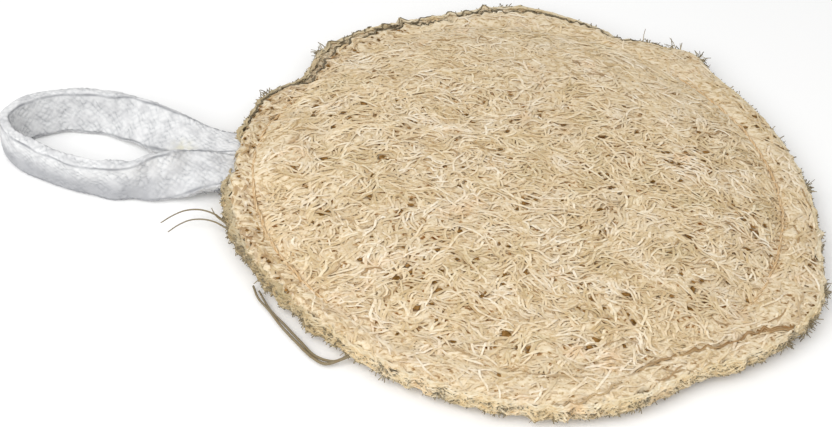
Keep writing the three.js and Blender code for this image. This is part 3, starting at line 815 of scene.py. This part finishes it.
def plan_fibres(x, y, length, spread, swings, edge, overhang, points, hollow_size, rng):
    """Plan of many fibres, grown both ways from their middles. Each ends where it would pass
    the rim by more than its overhang or enter a hollow, and is then divided evenly. Returns
    the plans, how far along each point lies from -1 to 1, and whether each end was cut."""
    count = len(x)
    turn = rng.normal(0, spread, count)
    swing = rng.uniform(*swings, count)
    wave = rng.uniform(5.5, 13, count)
    phase = rng.uniform(0, 2 * math.pi, count)
    step = length / 2 / HALF_STEPS
    ahead = grow(x, y, turn, swing, wave, phase, step)
    behind = grow(x, y, turn, swing, wave, phase, -step)
    plan = np.concatenate([behind[:, :0:-1], ahead], axis=1)
    px, py = plan[:, :, 0], plan[:, :, 1]
    inside = np.hypot(px, py) < edge(np.arctan2(py, px)) + overhang[:, None]
    past_rim = ~inside
    if hollow_size > 0:
        inside &= (hollow_reach(px, py) >= hollow_size) & (fold(px, py) < FIBRES_PART)
    forwards = np.cumprod(inside[:, HALF_STEPS:], axis=1).sum(axis=1) - 1
    backwards = np.cumprod(inside[:, HALF_STEPS::-1], axis=1).sum(axis=1) - 1
    low = HALF_STEPS - backwards
    high = HALF_STEPS + forwards
    t = np.linspace(0, 1, points)[None, :]
    place = low[:, None] + (high - low)[:, None] * t
    whole = np.minimum(place.astype(int), 2 * HALF_STEPS - 1)
    part = place - whole
    row = np.arange(count)
    rows = row[:, None]
    qx = px[rows, whole] * (1 - part) + px[rows, whole + 1] * part
    qy = py[rows, whole] * (1 - part) + py[rows, whole + 1] * part
    keep = (forwards >= 0) & (high - low > HALF_STEPS * 0.4)
    cut = np.stack([past_rim[row, np.maximum(low - 1, 0)],
                    past_rim[row, np.minimum(high + 1, 2 * HALF_STEPS)]], axis=-1)
    return qx[keep], qy[keep], np.broadcast_to(2 * t - 1, qx.shape)[keep], cut[keep]


def fibre_piece(name, count, seed, side, face, edge, slot_name, lengths, widths, levels, depths,
                tones, points, spread, swings=(0.1, 0.6), dive=0.6, hollow_size=1.0, bare=0.0,
                region=None):
    """Many fibres on one face of the pad. Each has a level above or under the face, weaves a
    little up and down along its length, and dives into the mat at ends that weren't cut. Where
    the threads are felted together, a share of the fibres is bare of them, times how felted it
    is."""
    rng = np.random.default_rng(seed)
    theta = rng.uniform(-math.pi, math.pi, count)
    r = edge(theta) * np.sqrt(rng.uniform(0, 0.97, count))
    x, y = r * np.cos(theta), r * np.sin(theta)
    chosen = rng.uniform(0, 1, count) > bare * felted(x, y)
    if region is not None:
        chosen &= region(x, y)
    x, y = x[chosen], y[chosen]
    count = len(x)
    length = rng.uniform(*lengths, count) * rng.uniform(0.75, 1.25, count)
    beyond = rng.uniform(0.0, FIBRE_OVERHANG, count)
    qx, qy, t, cut = plan_fibres(x, y, length, spread, swings, edge, beyond, points, hollow_size, rng)
    number = len(qx)
    level = rng.uniform(*levels, number)[:, None]
    phase = rng.uniform(0, 2 * math.pi, number)[:, None]
    turns = rng.uniform(0.6, 2.2, number)[:, None]
    lift = level + FIBRE_WEAVE * np.sin(turns * math.pi * t + phase)
    down = np.where(t < 0, ~cut[:, :1], ~cut[:, 1:]) * dive * np.abs(t) ** 5
    turn = np.arctan2(qy, qx)
    from_seam = np.hypot(qx, qy) - seam_radius(turn)
    shown = (1 - bell(turn, NEAR_MIDDLE, NEAR_HALF)) * (1 - 0.9 * bell(turn, SEAM_FADES, 1.0))
    press = 0.4 * shown * np.exp(-(from_seam / 1.2) ** 2)
    width = rng.uniform(*widths, number)[:, None]
    radii = width / 2 * (1 - 0.4 * np.abs(t) ** 6) * (1 + 0.1 * np.sin(5 * t + phase))
    z = face(qx, qy) + side * (lift - down - press)
    tone = np.clip(rng.uniform(*tones, number)[:, None] + 0.08 * soft_noise(qx, qy, 14.0, 31), 0, 1)
    # Painted shade: depth browns the fibres of deeper layers, their ends that dive into the mat and those in
    # the fold; the margin by the loop is also darker in spots
    depth = lerp(*depths, rng.uniform(0, 1, number))[:, None] + 0.15 * down / dive
    margin = bell(turn, math.pi, LOOP_SIDE_HALF) * smoothstep(spread_at(qx, qy, front_rim), 1, 1.25)
    soiled = margin * np.clip(0.22 + 0.5 * soft_noise(qx, qy, 2.6, 33), 0, 0.6)
    depth = np.clip(depth + soiled + (0.4 * fold(qx, qy) if side > 0 else 0), 0, 0.9)
    seam = 0.3 * shown * np.exp(-(from_seam / 1.3) ** 2)
    return tube_piece(name, qx, qy, z, radii, 3, front_fibre, slot_name, FIBRE_SQUASH, False,
                      tone=tone, depth=depth, seam=seam)


def fold_fibre_piece():
    """Brown fibres that run along the bottom of the fold, more of them to its right end, painted brown as
    shade in the fold.
    """
    rng = np.random.default_rng(131)
    count, points = 26, 14
    middle = rng.beta(2.4, 0.8, count)[:, None]
    share = rng.uniform(0.03, 0.12, count)[:, None]
    place = np.clip(middle + share / 2 * np.linspace(-1, 1, points), 0.02, 0.98)
    index = place * (len(FOLD_LINE) - 1)
    x, y = (np.interp(index, np.arange(len(FOLD_LINE)), FOLD_LINE[:, k]) for k in (0, 1))
    x = x + rng.normal(0, 0.25, count)[:, None]
    y = y + rng.normal(0, 0.25, count)[:, None] + 0.3 * soft_noise(x, y, 3.0, 132)
    t = np.linspace(-1, 1, points)[None, :]
    z = top_face(x, y) + 0.1 - 0.4 * np.abs(t) ** 6
    radii = rng.uniform(0.16, 0.28, count)[:, None]
    deep = rng.uniform(0.6, 1, count)[:, None] * lerp(0.45, 1, smoothstep(place, 0.5, 0.8))
    return tube_piece("front_fibres_in_fold", x, y, z, radii, 4, front_fibre, "loofah_front",
                      tone=0.0, depth=deep)


# The cut rim
RIM_ROUND = 0.8  # power of its rounding


def rim_point(theta, v, out):
    """A place on the rounded rim, from -1 at its foot to 1 at its top, moved outwards: the
    cosine and sine of a quarter turn times v, each raised to the power of the rounding."""
    far = bell(theta, FAR_MIDDLE, FAR_HALF)
    edge = np.maximum(front_rim(theta), back_edge(theta))
    quarter = np.clip(np.abs(v), 0, 1) * math.pi / 2
    r = edge - EDGE_REACH * (1 - np.cos(quarter) ** RIM_ROUND) + out * np.cos(quarter)
    up = RIM_TOP - SHEETS_MEET - 0.5 * far
    down = SHEETS_MEET - RIM_FOOT
    z = SHEETS_MEET + np.where(v > 0, up, -down) * np.sin(quarter) ** RIM_ROUND
    return r, z + np.sign(v) * out * np.sin(quarter)


def rim_fibre_piece(name, count, seed, low, high, slot_name):
    """Fibres that lie along the cut rim, felted together, between two heights on it."""
    rng = np.random.default_rng(seed)
    theta = rng.uniform(-math.pi, math.pi, count)
    clear = math.pi - np.abs(theta) > 0.1
    theta = theta[clear][:, None]
    count = len(theta)
    v = rng.uniform(low, high, count)[:, None]
    slope = rng.normal(0, 0.5, count)[:, None]
    length = rng.uniform(2.5, 8, count)[:, None]
    t = np.linspace(-1, 1, 5)[None, :]
    sway = 0.12 * np.sin(2.5 * t + rng.uniform(0, 6.3, count)[:, None])
    turn = theta + length / 2 * t * np.cos(slope) / PAD_RADIUS
    place = np.clip(v + length / 2 * t * np.sin(slope) / 3.6 + sway, -1, 1)
    out = rng.uniform(-0.32, -0.02, count)[:, None] - 0.35 * np.abs(t) ** 4
    r, z = rim_point(turn, place, out)
    radii = rng.uniform(0.22, 0.34, count)[:, None]
    near = bell(turn, NEAR_MIDDLE, 1.0)
    loop_side = smoothstep(-np.cos(turn), 0.45, 0.9)
    # Painted shade: tone rises towards the rim's top and depth darkens its lower part and each fibre's ends;
    # the near side is paler and the side by the loop darker
    shade = 0.72 + 0.12 * place + 0.15 * near - 0.32 * loop_side
    shade = np.clip(shade + rng.uniform(-0.25, 0.2, count)[:, None], 0, 1)
    dark = 0.65 * smoothstep(-place, 0.35, 0.85) + 0.12 * loop_side + 0.12 * np.abs(t) ** 4
    dark = np.clip(dark + 0.15 * (1 - near) * rng.uniform(0, 1, count)[:, None], 0, 1)
    return tube_piece(name, r * np.cos(turn), r * np.sin(turn), z, radii, 3, rim_fibre, slot_name,
                      smooth=False, tone=shade, depth=dark)


def outer_edge(theta):
    """The edge of whichever sheet reaches further."""
    return np.maximum(front_edge(theta), back_edge(theta))


def edge_fibre_piece(name, edge, face, inset, seed, middle, half, slot_name):
    """Thin fibres along a cut edge, on the side round a middle direction, painted dark as a shadow line
    along the edge.
    """
    rng = np.random.default_rng(seed)
    count, points = round(95 * half), 8
    theta = middle + half * rng.uniform(-1, 1, count)[:, None]
    length = rng.uniform(3, 8, count)[:, None]
    t = np.linspace(-1, 1, points)[None, :]
    turn = theta + length / 2 * t / PAD_RADIUS
    r = edge(turn) - inset + rng.uniform(-0.15, 0.15, count)[:, None]
    x, y = r * np.cos(turn), r * np.sin(turn)
    z = face(x, y) + 0.25 - 0.3 * np.abs(t) ** 6
    radii = rng.uniform(0.13, 0.22, count)[:, None]
    deep = rng.uniform(0.3, 0.75, count)[:, None]
    return tube_piece(name, x, y, z, radii, 3, rim_fibre, slot_name, tone=0.0, depth=deep)


# Tufts that the cutting left at the rim: direction and half width in degrees, length
TUFTS = (
    (158.8, 1.5, 2.3), (139.5, 1.2, 2.6), (96, 1.5, 0.9), (58.5, 2.2, 2.3), (52.5, 1, 2.6),
    (64, 1.2, 2.2), (7.8, 1.6, 2.2), (-8.8, 1, 0.9), (-21, 1.8, 2.4), (-31, 1.6, 2),
    (-37, 1.2, 1.8), (-71, 1.6, 0.6), (-95.5, 2.2, 0.8), (-105.5, 1.4, 0.5), (-116, 1.4, 0.6),
    (-126.5, 2, 0.8), (-134, 2.2, 0.8), (-145, 1.8, 0.7), (-153, 2.4, 0.8), (-161, 2, 0.7),
)
TUFT_FIBRES = 26
CUT_ENDS = (0.1, 0.6)  # how far the other ends stand out
ROOTS = 1.1  # how deep they begin


def cut_end_piece(name, count, seed, low, high, slot_name):
    """Cut ends of fibres that stand out of the rim: short and nearly straight, in all
    directions about the way outwards, painted darker to their tips as shade, with longer ones in the tufts."""
    rng = np.random.default_rng(seed)
    theta = rng.uniform(-math.pi, math.pi, count)
    calm = 1 - 0.55 * bell(theta, NEAR_MIDDLE, 1.1) - 0.5 * bell(theta, FAR_MIDDLE, 0.9)
    tip = rng.uniform(*CUT_ENDS, count) * rng.uniform(0.5, 1.5, count) * calm
    for middle, half, size in TUFTS:
        theta = np.append(theta, np.radians(rng.normal(middle, half * 0.6, TUFT_FIBRES)))
        tip = np.append(tip, size * rng.uniform(0.25, 1.0, TUFT_FIBRES))
    clear = math.pi - np.abs(theta) > 0.13
    theta, tip = theta[clear], tip[clear]
    count = len(theta)
    turn = theta + rng.normal(0, 0.5, count)
    v = rng.uniform(low, high, count)
    r, z = rim_point(theta, v, np.full(count, -ROOTS))
    rise = v * 0.55 + rng.normal(0, 0.3, count)
    s = np.linspace(0, 1, 4)[None, :] * (ROOTS + tip)[:, None]
    bent = turn[:, None] + rng.normal(0, 0.3, count)[:, None] * s
    px = (r * np.cos(theta))[:, None] + s * np.cos(bent)
    py = (r * np.sin(theta))[:, None] + s * np.sin(bent)
    pz = z[:, None] + rise[:, None] * s
    width = rng.uniform(0.26, 0.5, count)[:, None]
    radii = width / 2 * np.linspace(1, 0.6, 4)[None, :]
    tone = rng.uniform(0, 0.9, count)[:, None]
    # Painted shade: depth darkens each cut end towards its tip
    dark = rng.uniform(0.1, 0.45, count)[:, None] + np.array([0, 0, 0.2, 0.4])[None, :]
    return tube_piece(name, px, py, pz, radii, 3, rim_fibre, slot_name, tone=tone, depth=dark)


# Loose fibres at the rim, from root to tip, with their widths there
LOOSE_FIBRES = (
    (((-68, -24.5, 4.2), (-73.1, -23, 4.4), (-76.6, -20.2, 4.8), (-80.3, -19.2, 5), (-83.8, -19.9, 4.9),
      (-86.6, -22, 4.7), (-88.9, -24.5, 4.4)), 0.62, 0.3),
    (((-68, -25.2, 3.8), (-73, -23.6, 3.6), (-76.4, -21.6, 3.6), (-79.4, -20.9, 3.5), (-82.4, -21.5, 3.4),
      (-85, -23.5, 3.2), (-87, -26, 3)), 0.58, 0.28),
    (((-39, -61.3, 3.9), (-41.7, -62, 2.6), (-46.1, -63.2, 1.3), (-49.2, -61.3, 1.1), (-53, -57.3, 1.1),
      (-56.9, -52.7, 1.1), (-60.5, -47.5, 1.1), (-63.4, -43.9, 1.15), (-65, -40, 1.2)), 0.85, 0.5),
    (((-38.6, -60.6, 3.9), (-40.6, -61, 2.8), (-43.9, -62.6, 1.8), (-48.3, -61.2, 1.3), (-52.4, -56.6, 1.1),
      (-56.6, -51.6, 1.1), (-60.3, -47.2, 1.1), (-63.5, -41.5, 1.2)), 0.8, 0.45),
    (((-72.5, -23, 4.3), (-74.6, -22, 4.6), (-76.2, -21, 5), (-77, -20, 5.4), (-77.6, -19, 5.7)), 0.5, 0.2),
)


def loose_fibre_piece():
    """Each loose fibre is a tapering tube along its smooth route."""
    count = 40
    x, y, z = np.moveaxis([smooth_route(route, count) for route, _, _ in LOOSE_FIBRES], -1, 0)
    radii = np.array([np.linspace(root / 2, tip / 2, count) for _, root, tip in LOOSE_FIBRES])
    return tube_piece("loose_fibres", x, y, z, radii, 6, rim_fibre, "loofah_back", tone=0.0, depth=0.35)


# Seam thread
STITCHES = 84
THREAD_SIZE = 0.72
THREAD_SIDES = 9
THREAD_POINTS = 18
PLIES = 3
TWIST_LENGTH = 2.2


def stitch_piece(name, side):
    """One row of stitches: each dips into its two holes and bows over the fibres between
    them, and three plies twist round it as a bulge of its radius. On the near and the far side
    of the front the fibres cover it."""
    face = top_face if side > 0 else under_face
    place = (np.arange(STITCHES)[:, None] + np.linspace(-0.03, 1.03, THREAD_POINTS)) / STITCHES
    turn = -math.pi + 2 * math.pi * place
    t = np.linspace(-1, 1, THREAD_POINTS)[None, :]
    rng = np.random.default_rng(41 if side > 0 else 42)
    r = seam_radius(turn) + rng.normal(0, 0.16, STITCHES)[:, None] * (1 - t ** 2)
    x, y = r * np.cos(turn), r * np.sin(turn)
    lift = -0.6 * np.abs(t) ** 4 + rng.normal(0, 0.14, STITCHES)[:, None]
    if side > 0:
        lift = lift - 1.2 * bell(turn, NEAR_MIDDLE, NEAR_HALF) - 0.8 * bell(turn, SEAM_FADES, 1.0)
    z = np.maximum(face(x, y) + side * lift, THREAD_SIZE / 2)
    paths = np.stack([x, y, z], axis=-1)
    radii = np.full((STITCHES, THREAD_POINTS), THREAD_SIZE / 2)
    points, quads, triangles = tubes(paths, radii, THREAD_SIDES)
    ring = np.arange(THREAD_SIDES)[None, None, :] / THREAD_SIDES
    twist = (turn * SEAM_RADIUS / TWIST_LENGTH)[:, :, None]
    bulge = np.abs(np.sin(math.pi * (PLIES * ring + twist)))
    centre = np.repeat(paths.reshape(-1, 3), THREAD_SIDES, axis=0)
    scale = (0.78 + 0.3 * bulge).reshape(-1, 1)
    points = centre + (points - centre) * scale
    return make_piece(name, points, quads, triangles, sewing_thread, "seam_thread",
                      {"relief": bulge.ravel()})


# Tape
TAPE_ROWS = 560
TAPE_COLUMNS = 88
BRAID_STEP = 1.3  # real yarns lie about 0.9 apart, too fine to show
BRAID_ANGLE = 40.0
BRAID_RELIEF = 0.34
CORNER = 0.75
CREASE_HALF = 0.3
CREASE_DEEP = 0.22


def tape_lean(t):
    """The lean at shares of the tape's length, eased from each given one to the next."""
    places, leans = np.array(TAPE_LEAN, dtype=float).T
    step = np.interp(t, places, np.arange(len(places)))
    below = np.minimum(step.astype(int), len(places) - 2)
    return np.radians(lerp(leans[below], leans[below + 1], smoothstep(step - below, 0, 1)))


def braid(along, across):
    """Height from 0 to 1 of a soft flat braid: two families of yarns cross at the braid angle,
    in each lozenge of their lattice one of the two lies on top in turn, and it is round across
    and slightly bowed along. The lattice is bent by noise, because the tape is worn."""
    bent = along + 0.28 * soft_noise(along, across, 4.5, 53)
    moved = across + 0.22 * soft_noise(along, across, 3.6, 54)
    c, s = math.cos(math.radians(BRAID_ANGLE)), math.sin(math.radians(BRAID_ANGLE))
    a = (bent * s + moved * c) / BRAID_STEP
    b = (bent * s - moved * c) / BRAID_STEP
    first = (np.floor(a) + np.floor(b)) % 2 == 0
    fa, fb = np.sin(math.pi * (a % 1)), np.sin(math.pi * (b % 1))
    over = np.where(first, fa, fb)
    bow = np.where(first, fb, fa)
    return over ** 0.7 * (0.6 + 0.4 * bow ** 0.6)


def tape_piece():
    """The tape: rounded oblong rings along its route, each turned by the lean and pressed
    thinner between the sheets, with the braid's relief and a crease along its four edges."""
    t = np.linspace(0, 1, TAPE_ROWS)
    route = [(x, y, lerp(MID_RIM, TAPE_HEIGHT, float(smoothstep(-x, 76, 86)))) for x, y in TAPE_ROUTE]
    path = smooth_route(route, TAPE_ROWS)
    length = np.linalg.norm(np.diff(path, axis=0), axis=1).sum()
    along = np.gradient(path, axis=0)
    along /= np.linalg.norm(along, axis=1, keepdims=True)
    lean = tape_lean(t)
    outward = np.stack([along[:, 1], -along[:, 0], np.zeros(TAPE_ROWS)], axis=-1)
    outward /= np.linalg.norm(outward, axis=1, keepdims=True)
    width = outward * np.sin(lean)[:, None]
    width[:, 2] = np.cos(lean)
    face = np.cross(along, width)
    face /= np.linalg.norm(face, axis=1, keepdims=True)
    pressed = 1 - smoothstep(-path[:, 0], PRESS_START, PRESS_END)
    end_width = np.where(t < 0.5, FAR_END_WIDTH, NEAR_END_WIDTH)
    half = TAPE_WIDTH / 2 * lerp(1, end_width / TAPE_WIDTH, pressed)
    rise = lerp(TAPE_THICK, TAPE_PRESSED, pressed) / 2

    flat = 2 * (TAPE_WIDTH - 2 * CORNER)
    edge = 2 * (TAPE_THICK - 2 * CORNER)
    girth = flat + edge + 2 * math.pi * CORNER
    s = girth * (np.arange(TAPE_COLUMNS) + 0.5) / TAPE_COLUMNS
    across, through, nx, ny = oblong(s, TAPE_WIDTH, TAPE_THICK, CORNER)
    px = across[None, :] * (half / (TAPE_WIDTH / 2))[:, None]
    py = through[None, :] * (rise / (TAPE_THICK / 2))[:, None]

    run = (t * length)[:, None] + 0 * s[None, :]
    girdle = s[None, :] + 0 * run
    shade_and_brown = np.clip(0.75 + 0.3 * soft_noise(run, girdle, 5.0, 55), 0.25, 1)
    relief = 1 - shade_and_brown * (1 - braid(run, girdle))
    from_edge = TAPE_WIDTH / 2 - np.abs(across)[None, :] + 0.12 * soft_noise(run, girdle, 7.0, 56)
    on_face = (np.abs(through) > TAPE_THICK / 2 - 0.4)[None, :]
    crease = np.exp(-((from_edge - 0.55) / CREASE_HALF) ** 2) * on_face
    crease *= np.clip(0.8 + 0.25 * soft_noise(run, girdle, 8.0, 57), 0.3, 1)
    wander = 0.12 * soft_noise(run, girdle, 9.0, 51)
    lift = BRAID_RELIEF * (relief - 0.75) - CREASE_DEEP * crease + wander
    px = px + lift * nx[None, :]
    py = py + lift * ny[None, :]
    points = path[:, None, :] + px[:, :, None] * width[:, None, :] + py[:, :, None] * face[:, None, :]
    x, y, z = points[:, :, 0], points[:, :, 1], points[:, :, 2]
    stain = 0.5 * np.exp(-((x + 87.5) / 2.6) ** 2 - ((y - 2.2) / 1.6) ** 2)
    stain *= np.clip(0.6 + 0.4 * soft_noise(x, y, 2.4, 52), 0, 1)
    # Painted shade: darker low on the near strand, less so towards the pad
    soiled = 0.75 * smoothstep(-y, -2.0, 3.0) * smoothstep(-z, -10, -3.5)
    soiled = np.clip(soiled * (1 - 0.7 * smoothstep(x, -96, -84)), 0, 0.8)
    points, quads, caps = closed_rings(points, points[0].mean(axis=0), points[-1].mean(axis=0))
    # Painted shade: relief, lowered along the creases, and crease grey the hollows between the yarns and the
    # creases
    fields = {"relief": relief * (1 - 0.6 * crease), "crease": 0.75 * crease, "stain": stain,
              "soiled": soiled}
    attributes = {key: np.append(values.ravel(), [1, 1]) for key, values in fields.items()}
    return make_piece("cotton_tape", points, quads, caps, cotton, "cotton_tape", attributes)


def oblong(s, width, height, corner):
    """Points and outward directions at distances s round an oblong with round corners: the
    middle of the corner's circle runs along each straight side, and the direction turns at each
    corner."""
    a, b = width / 2 - corner, height / 2 - corner
    arc = math.pi * corner / 2
    ends = np.cumsum([0, 2 * b, arc, 2 * a, arc, 2 * b, arc, 2 * a, arc])
    turn = np.interp(s, ends, math.pi / 2 * np.array([0, 0, 1, 1, 2, 2, 3, 3, 4]))
    x = np.interp(s, ends, [a, a, a, -a, -a, -a, -a, a, a])
    y = np.interp(s, ends, [-b, b, b, b, b, -b, -b, -b, -b])
    nx, ny = np.cos(turn), np.sin(turn)
    return x + corner * nx, y + corner * ny, nx, ny


def fray_piece():
    """Short frayed cotton threads under the near edge of the tape where it enters the rim."""
    rng = np.random.default_rng(61)
    count = 26
    x = rng.uniform(-81, -74.5, count)
    s = np.linspace(0, 1, 5)[None, :] * rng.uniform(0.8, 2.0, count)[:, None]
    heading = rng.normal(-math.pi / 2, 0.6, count)[:, None] + rng.normal(0, 0.5, count)[:, None] * s
    px = x[:, None] + s * np.cos(heading)
    py = -9.7 + rng.uniform(-0.2, 0.3, count)[:, None] + s * np.sin(heading) * 0.8
    pz = rng.uniform(4.2, 5.2, count)[:, None] - 0.55 * s ** 1.4
    radii = rng.uniform(0.09, 0.16, count)[:, None]
    # crease greys these threads as painted shade under the tape's edge
    return tube_piece("tape_fray", px, py, pz, radii, 4, cotton, "cotton_tape",
                      relief=0.0, crease=0.6, stain=0.0, soiled=0.0)


def beyond_front(x, y):
    """Whether each place lies on the back sheet's margin beyond the front sheet."""
    theta = np.arctan2(y, x)
    return np.hypot(x, y) > front_edge(theta) - 1.2


# The pieces of each solid
FRONT = (1, top_face, front_edge, "loofah_front")
BACK = (-1, under_face, back_edge, "loofah_back")
BACK_STRIP = (1, strip_face, back_edge, "loofah_back")
pieces = {
    "front_loofah_sheet": [
        mat_piece("front_mat", front_edge, top_face, front_inner, 1, 420, "loofah_front"),
        fibre_piece("front_fibres_deep", 2500, 101, *FRONT, lengths=(6, 14), widths=(0.7, 1.0),
                    levels=(-0.42, -0.25), depths=(0.0, 0.28), tones=(0.0, 0.6), points=6,
                    spread=0.7, hollow_size=0.6, bare=0.4),
        fibre_piece("front_fibres_middle", 4200, 102, *FRONT, lengths=(4, 11), widths=(0.55, 0.82),
                    levels=(-0.3, -0.1), depths=(0.0, 0.16), tones=(0.05, 0.8), points=6,
                    spread=0.62, dive=0.45, hollow_size=0.8, bare=0.6),
        fibre_piece("front_fibres_top", 4300, 103, *FRONT, lengths=(3.5, 9.5), widths=(0.48, 0.74),
                    levels=(-0.16, 0.08), depths=(0.0, 0.06), tones=(0.1, 1.0), points=6,
                    spread=0.52, swings=(0.1, 0.5), dive=0.4, hollow_size=0.9, bare=0.7),
        fibre_piece("front_fibres_brown", 90, 106, *FRONT, lengths=(8, 22), widths=(0.4, 0.6),
                    levels=(-0.2, 0.0), depths=(0.35, 0.75), tones=(0.0, 0.4), points=9,
                    spread=0.35, swings=(0.1, 0.4)),
        fold_fibre_piece(),
        hollow_piece(),
        edge_fibre_piece("front_edge_fibres", front_edge, top_face, 0.35, 133, FAR_MIDDLE, 0.95,
                         "loofah_front"),
        rim_fibre_piece("front_rim_fibres", 1700, 121, 0.0, 1.0, "loofah_front"),
        cut_end_piece("front_cut_ends", 1500, 111, 0.0, 0.85, "loofah_front"),
    ],
    "back_loofah_sheet": [
        mat_piece("back_mat", back_edge, under_face, back_inner, -1, 320, "loofah_back"),
        fibre_piece("back_fibres", 3300, 104, *BACK, lengths=(7, 17), widths=(0.6, 0.85),
                    levels=(-0.5, -0.14), depths=(0.0, 0.25), tones=(0.05, 0.9), points=6,
                    spread=0.6, hollow_size=0),
        fibre_piece("back_margin_fibres", 5000, 105, *BACK_STRIP, lengths=(3, 8), widths=(0.55, 0.8),
                    levels=(-0.45, -0.1), depths=(0.0, 0.15), tones=(0.3, 0.8), points=5,
                    spread=0.5, hollow_size=0, region=beyond_front),
        rim_fibre_piece("back_rim_fibres", 1700, 122, -1.0, 0.0, "loofah_back"),
        cut_end_piece("back_cut_ends", 1500, 112, -0.85, 0.0, "loofah_back"),
        edge_fibre_piece("back_edge_fibres", outer_edge, strip_face, 0.5, 134, 1.6, 1.35,
                         "loofah_back"),
        loose_fibre_piece(),
    ],
    "hanging_loop": [tape_piece(), fray_piece()],
    "seam_thread": [stitch_piece("front_stitches", 1), stitch_piece("back_stitches", -1)],
}
for node, its_pieces in pieces.items():
    for piece in its_pieces:
        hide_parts(node)


# Studio: floor, lights and a pale sky, in metres
FLOOR = 3.0

def add_floor():
    """A square of pale paper under the pad."""
    mesh = bpy.data.meshes.new("floor")
    corners = [(-FLOOR, -FLOOR, 0), (FLOOR, -FLOOR, 0), (FLOOR, FLOOR, 0), (-FLOOR, FLOOR, 0)]
    mesh.from_pydata(corners, [], [(0, 1, 2, 3)])
    floor = bpy.data.objects.new("floor", mesh)
    bpy.context.scene.collection.objects.link(floor)
    floor.data.materials.append(paper)


def add_area_light(name, place, size, power, aim=(0.0, 0.0, 0.0)):
    """A square soft light at a place, turned towards the point that it is aimed at."""
    data = bpy.data.lights.new(name, "AREA")
    data.size = size
    data.energy = power
    light = bpy.data.objects.new(name, data)
    bpy.context.scene.collection.objects.link(light)
    light.location = place
    light.rotation_euler = (Vector(aim) - Vector(place)).to_track_quat("-Z", "Y").to_euler()


def set_world(colour, strength):
    """One even colour of light from all sides."""
    world = bpy.data.worlds.new("studio")
    bpy.context.scene.world = world
    world.use_nodes = True
    background = world.node_tree.nodes["Background"]
    background.inputs["Color"].default_value = linear(colour)
    background.inputs["Strength"].default_value = strength


add_floor()
add_area_light("key", (-0.28, -0.4, 0.46), 0.5, 3.0)
add_area_light("fill", (0.3, -0.6, 0.8), 0.7, 1.6)
set_world("#ffffff", 0.62)
bpy.context.scene.view_settings.view_transform = "Standard"
